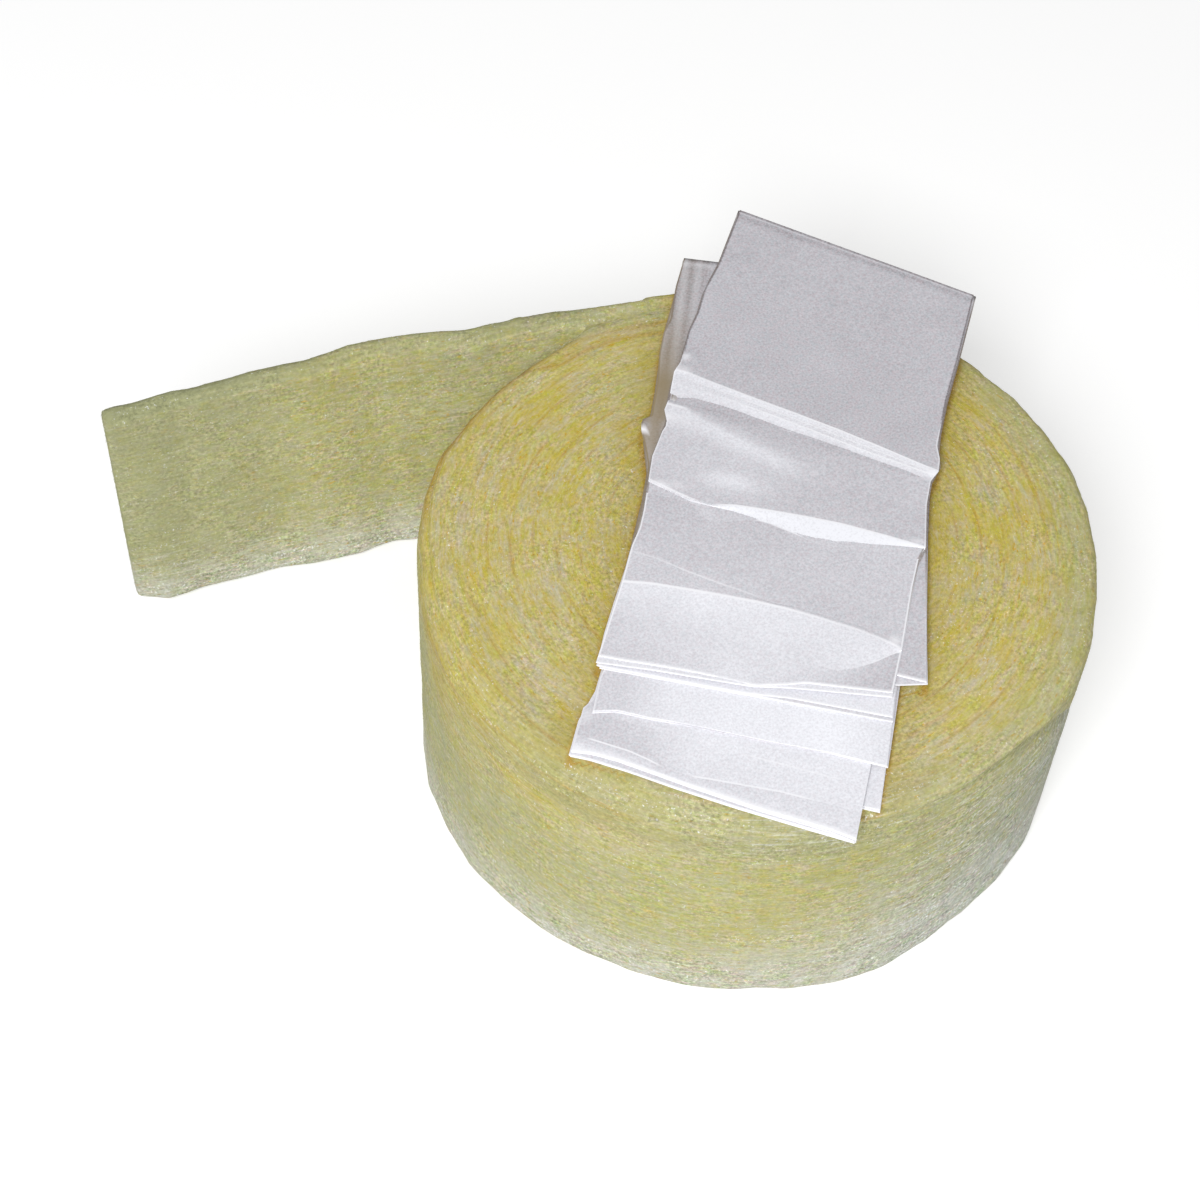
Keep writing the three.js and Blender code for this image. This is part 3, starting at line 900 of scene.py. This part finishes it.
LOW_CREASES = (
    Crease(LOW_FOLD, 1, 0.8, 0.8, 0, 2.4),
    Crease(
        [
            (0, 0.037), (0.19, 0.037), (0.26, 0.032), (0.315, 0.026), (0.40, 0.024), (0.5, 0.033),
            (0.62, 0.042), (0.72, 0.050), (0.85, 0.054), (1, 0.058),
        ],
        white=[
            (0, 0), (0.04, 0), (0.06, 0.9), (0.28, 0.9), (0.32, 0), (0.40, 0), (0.44, 0.9), (0.80, 0.8),
            (0.86, 0), (1, 0),
        ],
        before=[(0, 0.45), (0.3, 0.6), (1, 0.8)],
        after=[(0, 0.3), (0.25, 0.45), (0.4, 0.85), (1, 0.9)],
        lift=0.05,
        width=0.5,
    ),
    Crease(
        [(0, 0.092), (0.56, 0.101), (0.72, 0.106), (0.9, 0.111), (1, 0.113)],
        white=[(0, 0), (0.54, 0), (0.6, 0.5), (0.85, 0.5), (0.92, 0), (1, 0)],
        before=[(0, 0.2), (0.12, 0.35), (0.4, 0.95), (1, 0.95)],
        after=[(0, 0.3), (0.12, 0.5), (0.4, 1.0), (1, 0.95)],
        lift=0.05,
        width=0.5,
    ),
    Crease([(0, 1), (1, 1)], 0.5, 0.5, 0, 0, 0),
)


def level_crease(place, *finish):
    return Crease([(0, place), (1, place)], *finish)


def plain_creases(layer, near_bow, length):
    """A layer of which only the strips beside its folds show."""
    fold = [(share, inwards / 1000 / length) for share, inwards in near_bow]
    width, milk, white = 0.9, 0.5, 1
    if LAYER_LOW < layer <= LAYER_THIRD:
        white = [(0, 0.9), (0.25, 0.8), (0.35, 0.2), (0.75, 0.2), (0.9, 0.8), (1, 0.9)]
    if layer == LAYER_THIRD:
        width, milk = 0.7, [(0, 0.5), (0.08, 0.5), (0.25, 1.0), (0.8, 1.2), (1, 0.95)]
    elif layer == LAYER_FOURTH:
        width, milk = 1.2, [(0, 0.8), (1, 1.0)]
    elif layer in (LAYER_MIDDLE, LAYER_MIDDLE - 1):
        width, milk = 1.7, [(0, 0.0), (0.5, 0.1), (0.85, 0.25), (1, 0.2)]
    elif layer <= LAYER_LOWEST:
        milk = [(0, 0.2), (0.5, 0.8), (1, 0.95)]
    elif layer > LAYER_MIDDLE:
        milk = 0.85
    return (
        Crease(fold, white, milk, milk, 0, width),
        level_crease(0.14, 0, milk, milk, 0, 0),
        level_crease(0.45, 0, 0.1, 0.1, 0, 0),
        level_crease(0.985, 0.25, 0.0, 0.0, 0, 0),
        level_crease(1, 0, -0.6, 0, 0, 0),
    )


def across_layer(table, share):
    """A table read across the layer, or one number for all of it."""
    return between(table, share) if isinstance(table, list) else np.full_like(share, float(table))


# Over a crease: how far before or after it each row of points lies, in widths, and how white.
CREASE_REACH = 1.3
OVER_CREASE = ((-CREASE_REACH, 0), (-0.5, 0.8), (0, 1), (0.5, 0.8), (CREASE_REACH, 0))
CREASE_ROOM = 0.4  # of the way to the next crease


def creased_rows(creases, shares, length, spacing):
    """Rows of points that follow the creases: where each lies along the layer, how white and how
    milky it is there, with painted highlight and sheen, and how far it stands up."""
    read = [Crease(*(across_layer(part, shares) for part in crease)) for crease in creases]
    last = len(read) - 1
    rows = []
    for number, crease in enumerate(read):
        path, after = crease.path, read[min(number + 1, last)]
        room_before = (path - read[number - 1].path) * CREASE_ROOM if number else 0 * path
        room_after = (after.path - path) * CREASE_ROOM
        for step, whiteness in OVER_CREASE:
            if step and not creases[number].width:
                continue
            if (step < 0 and not number) or (step > 0 and number == last):
                continue
            reach = step * crease.width / 1000 / length
            reach = np.minimum(reach, room_after) if step > 0 else np.maximum(reach, -room_before)
            milk = crease.before if step < 0 else crease.after
            if not step:
                milk = (crease.before + crease.after) / 2
            rows.append((path + reach, crease.white * whiteness, milk, crease.lift))
        if number == last:
            break
        start = path + np.minimum(CREASE_REACH * crease.width / 1000 / length, room_after)
        stop = after.path - np.minimum(CREASE_REACH * after.width / 1000 / length, room_after)
        way = stop - start
        count = round(float(np.mean(way)) * length / spacing)
        for part in (np.arange(count) + 1) / (count + 1):
            milk = crease.after + (after.before - crease.after) * part
            lift = crease.lift + (after.lift - crease.lift) * part
            rows.append((start + way * part, np.zeros_like(shares), milk, lift))
    return rows


def row_spacing(layer):
    """How far apart the rows are between two creases: the more of a layer shows, the closer."""
    if layer > LAYER_MIDDLE:
        return 0.0024 if layer == LAYER_TOP else 0.012
    if layer >= LAYER_MIDDLE - 1:
        return 0.0035
    return 0.006 if layer == LAYER_LOW else 0.030


def lift_of_top(along, across):
    """How far the uppermost layer's creases stand up at a point, in millimetres."""
    paths = [across_layer(crease.path, across) for crease in TOP_CREASES]
    lifts = [across_layer(crease.lift, across) for crease in TOP_CREASES]
    result = lifts[0]
    for before, after, low_lift, high_lift in zip(paths, paths[1:], lifts, lifts[1:]):
        part = np.clip((along - before) / np.maximum(after - before, 1e-6), 0, 1)
        result = np.where(along > before, low_lift + (high_lift - low_lift) * part, result)
    return result


# Where a crease or a side edge ends in a small crumple: its middle as shares across and along, its
# half width and half length in millimetres, and how white it is.
LOW_CRUMPLES = ((0.020, 0.082, 2.5, 2.5, 0.9), (0.015, 0.010, 3.0, 2.0, 0.6))
TOP_CRUMPLES = (
    (-0.030, 0.633, 3.0, 2.0, 0.8),
    (-0.034, 0.606, 6.0, 1.6, 0.7),
    (-0.010, 0.548, 4.0, 1.8, 0.5),
    (-0.025, 0.500, 4.5, 2.2, 0.9),
    (0.010, 0.496, 6.0, 1.6, 0.6),
    (0.045, 0.360, 7.0, 1.7, 0.8),
    (0.985, 0.517, 3.0, 2.5, 0.7),
    (0.975, 0.345, 3.5, 1.6, 0.7),
    (0.965, 0.110, 2.5, 2.5, 0.8),
)


def crumpled(crumples, across, along, length):
    white = np.zeros_like(across)
    for middle, place, half_width, half_length, whiteness in crumples:
        spread = hump(across * FILM_WIDTH * 1000, middle * FILM_WIDTH * 1000, half_width)
        spread = spread * hump(along * length * 1000, place * length * 1000, half_length)
        white = np.maximum(white, whiteness * spread)
    return white


# How far the wool's colour comes through the middle pack's left side, by the share along it, and
# how white the top layer's side edges are.
WOOL_THROUGH = [(0.2, 0.3), (0.5, 0.8), (0.62, 0.95), (0.68, 0.7), (0.78, 0.43), (0.86, 0.2), (1, 0.2)]
EDGE_WHITE = [(0, 0.9), (0.33, 0.8), (0.36, 0.5), (0.61, 0.6), (0.65, 0)]
# Where a sheen lies over the top layer: across by along, and its half width, all as shares.
SHEEN_PATH, SHEEN_WIDTH = [(0, 0.512), (0.55, 0.445), (1, 0.40)], 0.022
POINTS_BETWEEN_EDGES = 72
PACK_LENGTH = 0.28  # about, for the layers' swells
SWELLS_APART = 0.05  # so that a layer's swells differ from the next one's
NEAR_SLIP, FAR_SLIP = 0.45, 0.7  # how unevenly the folds lie over each other, in millimetres
edge_steps = np.array([0, 0.003, 0.007, 0.015])
across_line = np.linspace(0.03, 0.97, POINTS_BETWEEN_EDGES)
across_line = np.concatenate([edge_steps, across_line, 1 - edge_steps[::-1]])
edge_light = ease(0.0008, 0.0003, np.minimum(across_line, 1 - across_line) * FILM_WIDTH)
random = np.random.default_rng(7)
near_slip = random.normal(0, NEAR_SLIP, (len(NEAR_FOLDS), 2, 2))
far_slip = random.normal(0, FAR_SLIP, (len(FAR_FOLDS), 2, 2))
# The uppermost fold of a pack shows, so it lies just where it is listed.
for layer in (LAYER_LOW, LAYER_THIRD, LAYER_FOURTH, LAYER_MIDDLE, LAYER_TOP):
    near_slip[layer // 2] = 0
far_slip[[LAYER_MIDDLE // 2, -1]] = 0


def finish_top_layer(along, across, wave, length, mark, milk):
    """How white and how milky the uppermost layer is, with its painted highlights and sheen, and how
    far its crumples stand up.
    """
    mark = np.maximum(mark, edge_light * between(EDGE_WHITE, along))
    wrinkled = crumpled(TOP_CRUMPLES, across, along, length) * (0.75 + 0.5 * drift(wave, 0.004, 53))
    mark = np.clip(np.maximum(mark, wrinkled), 0, 1)
    milk = milk - 0.9 * edge_light * ease(0.60, 0.68, along)
    milk = milk + 0.55 * hump(across, 0.27, 0.11) * hump(along, 0.392, 0.018)
    sheen = hump(along, between(SHEEN_PATH, across), SHEEN_WIDTH)
    milk = milk + 0.45 * sheen * ease(0.62, 0.35, across)
    milk = milk - 0.15 * ease(0.5, 0.15, across) * ease(0.15, 0.05, along)
    return mark, milk, np.zeros_like(across), 0.0006 * wrinkled


def finish_lower_layer(layer, along, across, length, mark, milk):
    """The same for the layers below, whose left side also takes the wool's colour."""
    edge_mark = np.where(across_line > 0.5, 0.15, 0.5) * ease(0.3, 0.2, along)
    mark = np.maximum(mark, edge_mark * edge_light)
    if layer == LAYER_LOW:
        mark = np.maximum(mark, crumpled(LOW_CRUMPLES, across, along, length))
    milk = milk - 0.8 * edge_light * ease(0.2, 0.3, along)
    beside = ease(0.16, 0.03, across_line) * (layer <= LAYER_MIDDLE)
    tint = beside * ease(0.12, 0.2, along) * 0.68
    stands_up = 0
    if layer >= LAYER_MIDDLE - 1:
        tint = beside * between(WOOL_THROUGH, along)
        tint = tint + 0.3 * edge_light * ease(0.12, 0.2, along)
        milk = milk + 0.35 * beside * np.sin(across * FILM_WIDTH / 0.0011)
    if LAYER_FOURTH < layer <= LAYER_MIDDLE:
        curl = ease(-0.035, -0.055, across) * hump(along, 0.492, 0.016)
        stands_up = 0.0012 * curl * (layer - LAYER_FOURTH) / 8
        mark = np.maximum(mark, ease(-0.045, -0.06, across) * hump(along, 0.480, 0.007))
        tint = tint * (1 - 0.6 * curl)
    return mark, milk, tint, stands_up


film_rows, film_finish = [], []
for layer in range(LAYERS):
    (near_ends, near_bow), far_ends = NEAR_FOLDS[layer // 2], FAR_FOLDS[(layer + 1) // 2]
    near = (np.array(near_ends, float) + near_slip[layer // 2]) / 1000
    far = (np.array(far_ends, float) + far_slip[(layer + 1) // 2]) / 1000
    length = np.linalg.norm(far.mean(0) - near.mean(0))
    left_edge, right_edge = side_edges(layer)
    creases = plain_creases(layer, near_bow, length)
    creases = {LAYER_TOP: TOP_CREASES, LAYER_LOW: LOW_CREASES}.get(layer, creases)
    rows = creased_rows(creases, across_line, length, row_spacing(layer))
    if layer % 2 == 0:  # this layer runs from the far end to the near one
        rows = rows[::-1]
    level = FILM_FLOOR + LAYER_STEP * (layer + 0.5)
    share_of_relief = max(0, (layer - LAYER_MIDDLE) / (LAYERS - 1 - LAYER_MIDDLE))
    for along, mark, milk, lift in rows:
        left_share, right_share = between(left_edge, along), between(right_edge, along)
        across = left_share + across_line * (right_share - left_share)
        left = near[0] * (1 - along[:, None]) + far[0] * along[:, None]
        right = near[1] * (1 - along[:, None]) + far[1] * along[:, None]
        flat = left * (1 - across[:, None]) + right * across[:, None]
        apart = np.full_like(across, layer * SWELLS_APART)
        wave = np.stack([across * FILM_WIDTH, along * PACK_LENGTH, apart], axis=1)
        if LAYER_MIDDLE < layer < LAYER_TOP:
            lift = lift_of_top(along, across)
        if layer == LAYER_TOP:
            *finish, stands_up = finish_top_layer(along, across, wave, length, mark, milk)
        else:
            *finish, stands_up = finish_lower_layer(layer, along, across, length, mark, milk)
        relief = lift / 1000 + 0.0002 * drift(wave, 0.03, 51)
        height = level + share_of_relief * relief + stands_up
        film_rows.append(np.column_stack([flat + np.array(roll_axis[:2]), height]))
        film_finish.append(finish)

row_count, points_across = len(film_rows), len(across_line)
first = np.arange(row_count - 1)[:, None] * points_across + np.arange(points_across - 1)
corners = np.stack([first, first + 1, first + 1 + points_across, first + points_across], axis=2)
film_mesh = bpy.data.meshes.new("plastic_film")
film_mesh.from_pydata(np.concatenate(film_rows).tolist(), [], corners.reshape(-1, 4).tolist())
film = bpy.data.objects.new("folded_film", film_mesh)
bpy.context.scene.collection.objects.link(film)
for name, values in zip(("mark", "milk", "tint"), zip(*film_finish)):
    store(film, name, np.concatenate(values))
select_only(film)
bpy.ops.object.shade_smooth()

FILM_ROSY, FILM_BLUISH, FILM_MILK_AND_SHEEN = shade(196, 186, 192), shade(186, 190, 196), shade(248, 249, 255)
FILM_SHADOW, WOOL_BEHIND = shade(128, 120, 122), shade(150, 134, 104)
CREASE_WHITE_AND_HIGHLIGHT = shade(249, 249, 253)
clear_film = Finish("creased clear film")
film_place = clear_film.object_place()
clouding = clear_film.noise(film_place, 0.03, 3, 0.6).ramp(0.3, 0.7, -0.08, 0.08)
milk_and_sheen_tone = clear_film.noise(film_place, 0.0011, 2, 0.65).ramp(0.3, 0.7, -0.3, 0.3)
milk_and_sheen_tone = clear_film.stored("milk") + milk_and_sheen_tone + clouding
film_hue = clear_film.noise(film_place, 0.0017, 2, 0.65, offset=0.3).ramp(0.3, 0.7)
# The milk is the film's milkiness with its painted sheen and reflections; where it falls below nought
# it paints shade.
film_colour = milk_and_sheen_tone.ramp(0, 1.4).mix(film_hue.mix(FILM_ROSY, FILM_BLUISH), FILM_MILK_AND_SHEEN)
film_colour = milk_and_sheen_tone.ramp(0, -0.8).mix(film_colour, FILM_SHADOW)
film_colour = clear_film.stored("tint").mix(film_colour, WOOL_BEHIND)
# The creases' white is partly painted highlight.
clear_film.show(
    {
        "Base Color": clear_film.stored("mark").mix(film_colour, CREASE_WHITE_AND_HIGHLIGHT),
        "Roughness": 0.32,
        "Specular IOR Level": 0.4,
        "Normal": clear_film.bump(clear_film.noise(film_place, 0.004), 0.2, 0.0003),
    }
)
film_mesh.materials.append(clear_film.material)

# Shade is painted on the wool along the film's outline, so each of its points keeps how far off that
# is.
NEAR_THE_FILM = 0.025
OUTLINE_STEP = 0.001
TOP_ABOVE = 0.146  # the wool's points above this can touch the film
RAY_START = 0.004  # below the film
outline = []
folds = np.concatenate(film_rows).reshape(row_count, points_across, 3)
for side in (0, -1):
    edge = folds[:, side, :2]
    for start, stop in zip(edge[:-1], edge[1:]):
        steps = max(2, int(np.linalg.norm(stop - start) / OUTLINE_STEP))
        outline.append(start + (stop - start) * np.linspace(0, 1, steps)[:, None])
outline = np.concatenate(outline)
tree = KDTree(len(outline))
for number, place in enumerate(outline):
    tree.insert((*place, 0), number)
tree.balance()
off_film = np.full(len(places), FAR_OFF)
for number, place in enumerate(places):
    if place[2] > TOP_ABOVE:
        distance = tree.find((place[0], place[1], 0))[2]
        if distance < NEAR_THE_FILM:
            below = Vector((place[0], place[1], FILM_FLOOR - RAY_START))
            hidden = film.ray_cast(below, Vector((0, 0, 1)))[0]
            off_film[number] = -distance if hidden else distance
store(wool, "off_film", off_film)

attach(film, "root")
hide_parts("plastic_film")

# ---------------------------------------------------------------- loose fibres on the wool
# Short glass fibres that stand off the felted faces and lie over the cut edges along the strip. One
# is made, and copies of it are strewn over the wool, turned and lifted a little.

FIBRE_LENGTH = 0.006
FIBRE_RADIUS = 0.00006
FIBRE_BOW = 0.0003
FIBRE_LIFT = 0.08  # how far a fibre tips out of the surface, at most, in radians
SMALLEST_FIBRE, LARGEST_FIBRE = (0.4, 0.8, 0.2), (1.2, 1.5, 1.5)
LOWEST_FIBRE = 0.0002
BARE_FOOT = 0.004  # the height next to the floor that has no fibres
COVERED_ABOVE = 0.14  # the film can only cover what is higher than this
COVER_MARGIN = 3  # how far inside a pack of film the wool counts as covered, in millimetres
WALL_OUTSIDE = 0.1  # the roll's face is further from the axis than this


def model_fibre():
    """One fibre along X, thin as a spindle, which bows up in its middle."""
    bpy.ops.object.select_all(action="DESELECT")
    bpy.ops.mesh.primitive_circle_add(vertices=3, radius=FIBRE_RADIUS, rotation=(0, math.pi / 2, 0))
    fibre = bpy.context.active_object
    bpy.ops.object.transform_apply(location=False, rotation=True, scale=True)
    middle = len(fibre.data.vertices)
    for side in (-1, 1):
        bpy.ops.object.mode_set(mode="EDIT")
        bpy.ops.mesh.select_all(action="DESELECT")
        bpy.ops.object.mode_set(mode="OBJECT")
        for part in (*fibre.data.vertices[:middle], *fibre.data.edges[:middle]):
            part.select = True
        bpy.ops.object.mode_set(mode="EDIT")
        bpy.ops.mesh.extrude_region_move(
            TRANSFORM_OT_translate={"value": (side * FIBRE_LENGTH / 2, 0, -FIBRE_BOW)}
        )
        bpy.ops.mesh.merge(type="CENTER")
        bpy.ops.object.mode_set(mode="OBJECT")
    bpy.ops.object.mode_set(mode="EDIT")
    bpy.ops.mesh.select_all(action="SELECT")
    bpy.ops.mesh.normals_make_consistent(inside=False)
    bpy.ops.object.mode_set(mode="OBJECT")
    return fibre


one_fibre = model_fibre()


def scatter_fibres(name, keep, per_square_metre, seed, turn_spread):
    """Lays copies of the fibre on the part of the wool for which keep is 1."""
    host = bpy.data.objects.new(name, wool.data.copy())
    bpy.context.scene.collection.objects.link(host)
    store(host, "keep", keep)
    tree = bpy.data.node_groups.new(name, "GeometryNodeTree")
    for end in ("INPUT", "OUTPUT"):
        tree.interface.new_socket("Geometry", in_out=end, socket_type="NodeSocketGeometry")
    add = Nodes(tree).add

    def read(attribute, kind):
        inputs = {"Name": attribute}
        return add("GeometryNodeInputNamedAttribute", inputs, "Attribute", data_type=kind)

    def random_vector(low, high, seed):
        inputs = {0: low, 1: high, "Seed": seed}
        return add("FunctionNodeRandomValue", inputs, data_type="FLOAT_VECTOR")

    density = read("keep", "FLOAT") * per_square_metre
    spots = {"Mesh": add("NodeGroupInput"), "Density": density, "Seed": seed}
    points = add("GeometryNodeDistributePointsOnFaces", spots, "Points", distribute_method="RANDOM")
    axes = {"Primary Axis": points.other("Normal"), "Secondary Axis": read("strip_way", "FLOAT_VECTOR")}
    facing = add("FunctionNodeAxesToRotation", axes, primary_axis="Z", secondary_axis="X")
    most = (math.pi, FIBRE_LIFT, turn_spread)
    turn = {"Euler": random_vector([-angle for angle in most], most, seed + 1)}
    turn = {"Rotation": facing, "Rotate By": add("FunctionNodeEulerToRotation", turn)}
    turned = add("FunctionNodeRotateRotation", turn, rotation_space="LOCAL")
    shape = add("GeometryNodeObjectInfo", {"Object": one_fibre}, "Geometry", transform_space="ORIGINAL")
    placed = {"Points": points, "Instance": shape, "Rotation": turned}
    placed["Scale"] = random_vector(SMALLEST_FIBRE, LARGEST_FIBRE, seed + 2)
    copies = add("GeometryNodeInstanceOnPoints", placed)
    tone = add("FunctionNodeRandomValue", {2: 0.0, 3: 1.0, "Seed": seed + 3}, 1, data_type="FLOAT")
    toned = {"Name": "tone", "Geometry": copies, "Value": tone}
    toned = add("GeometryNodeStoreNamedAttribute", toned, data_type="FLOAT", domain="INSTANCE")
    add("NodeGroupOutput", {0: add("GeometryNodeRealizeInstances", {"Geometry": toned})})
    apply_modifier(host, "NODES", node_group=tree)
    host.data.materials.clear()
    return host


loose_fibre = Finish("loose glass fibre")
stored, tone = loose_fibre.stored, loose_fibre.stored("tone")
fibre_colour = stored("cut_edge").mix(tone.mix(KHAKI, FACE_CREAM), tone.mix(GOLD, CREAM))
# The fibres take the wool's grey, paleness and painted shade; the brightest are white, partly as
# painted glints.
for name, colour in (("grey", GREY_GREEN), ("pale", PALE), ("dusk", PAINTED_SHADE_KHAKI)):
    fibre_colour = stored(name).mix(fibre_colour, colour)
bright = tone.ramp(0.93, 0.95) * stored("coarse")
fibre_colour = bright.mix(fibre_colour, WHITE_SPECK_AND_GLINT)
fibre_colour = tone.ramp(0.04, 0.02, 0, 0.6).mix(fibre_colour, OCHRE)
loose_fibre.show({"Base Color": fibre_colour, "Roughness": 0.6})


def within(ends, far_ends):
    """Which of the wool's points lie well under a pack of film."""
    pack = [Vector(ends[0]), Vector(ends[1]), Vector(far_ends[1]), Vector(far_ends[0])]
    inside = np.ones(len(places), bool)
    for corner, next_corner in zip(pack, pack[1:] + pack[:1]):
        side = next_corner - corner
        area = side.x * (y * 1000 - corner.y) - side.y * (x * 1000 - corner.x)
        inside &= area > COVER_MARGIN * side.length
    return inside


covered = z > COVERED_ABOVE
covered &= within(NEAR_LOW, FAR_LOW) | within(NEAR_MIDDLE, FAR_MIDDLE) | within(NEAR_TOP, FAR_TOP)
bare = np.where((z < BARE_FOOT) | covered, 0.0, 1.0)
top_part = bare * cut_edge * ~on_tail
side_part = bare * (1 - cut_edge) * ~on_tail * (radius > WALL_OUTSIDE)
for name, keep, per_square_metre, seed, turn_spread in (
    ("fibres_on_the_top", top_part, 460000, 41, 0.35),
    ("fibres_on_the_wall", side_part, 240000, 42, 0.5),
    ("fibres_on_the_tail", bare * on_tail, 330000, 43, 0.7),
):
    fibres = scatter_fibres(name, keep, per_square_metre, seed, turn_spread)
    fibres.data.materials.append(loose_fibre.material)
    fibre_places = read_points(fibres)
    fibre_places[:, 2] = np.maximum(fibre_places[:, 2], LOWEST_FIBRE)
    move_points(fibres, fibre_places)
    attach(fibres, "root")
bpy.data.objects.remove(one_fibre)

# ---------------------------------------------------------------- floor, lamp and camera
# A plain pale floor that looks white to the camera, a pale room and one broad soft lamp. The camera
# looks down at the roll from the front left.

FLOOR_SIZE = 8
FLOOR_GLOW, ROOM_LIGHT = 0.35, 0.40
LAMP_PLACE, LAMP_AIM, LAMP_SIZE, LAMP_POWER = (-0.92, -1.47, 2.03), (0.0, 0.0, 0.1), 1.0, 55
CAMERA_FROM_AXIS = Vector((-0.304533, -0.649153, 1.042973))
CAMERA_HEADING, CAMERA_DIP, CAMERA_ROLL = (math.radians(a) for a in (70.477, 52.964, 3.019))
CAMERA_LENS, CAMERA_SENSOR, CAMERA_REACH = 72.55, 36, 50

bpy.ops.object.select_all(action="DESELECT")
bpy.ops.mesh.primitive_plane_add(size=FLOOR_SIZE)
floor = bpy.context.active_object
floor.name = "floor"
pale_floor = Finish("pale floor")
seen = pale_floor.add("ShaderNodeLightPath", output="Is Camera Ray")
seen = seen.maths("MAXIMUM", seen.other("Is Glossy Ray"))
pale_floor.show(
    {
        "Base Color": (0.8, 0.8, 0.8, 1),
        "Roughness": 0.9,
        "Emission Color": (1, 1, 1, 1),
        "Emission Strength": seen * FLOOR_GLOW,
    }
)
floor.data.materials.append(pale_floor.material)

room = bpy.data.worlds.new("room")
bpy.context.scene.world = room
room.use_nodes = True
room.node_tree.nodes["Background"].inputs["Color"].default_value = (1, 1, 1, 1)
room.node_tree.nodes["Background"].inputs["Strength"].default_value = ROOM_LIGHT

light = bpy.data.lights.new("front", "AREA")
light.shape = "RECTANGLE"
light.size = light.size_y = LAMP_SIZE
light.energy = LAMP_POWER
lamp = bpy.data.objects.new("front", light)
lamp.location = LAMP_PLACE
lamp.rotation_euler = (Vector(LAMP_AIM) - lamp.location).to_track_quat("-Z", "Y").to_euler()
bpy.context.scene.collection.objects.link(lamp)

flat_way = Vector((math.cos(CAMERA_HEADING), math.sin(CAMERA_HEADING), 0))
view_way = flat_way * math.cos(CAMERA_DIP) - Vector((0, 0, math.sin(CAMERA_DIP)))
level_right = view_way.cross(Vector((0, 0, 1))).normalized()
level_up = level_right.cross(view_way)
camera_right = level_right * math.cos(CAMERA_ROLL) + level_up * math.sin(CAMERA_ROLL)
camera_up = level_up * math.cos(CAMERA_ROLL) - level_right * math.sin(CAMERA_ROLL)
camera_data = bpy.data.cameras.new("camera")
camera_data.sensor_width = CAMERA_SENSOR
camera_data.lens = CAMERA_LENS
camera_data.clip_end = CAMERA_REACH
camera = bpy.data.objects.new("camera", camera_data)
bpy.context.scene.collection.objects.link(camera)
turn = Matrix((camera_right, camera_up, -view_way)).transposed().to_4x4()
camera.matrix_world = Matrix.Translation(roll_axis + CAMERA_FROM_AXIS) @ turn
bpy.context.scene.camera = camera
bpy.context.scene.view_settings.view_transform = "Standard"
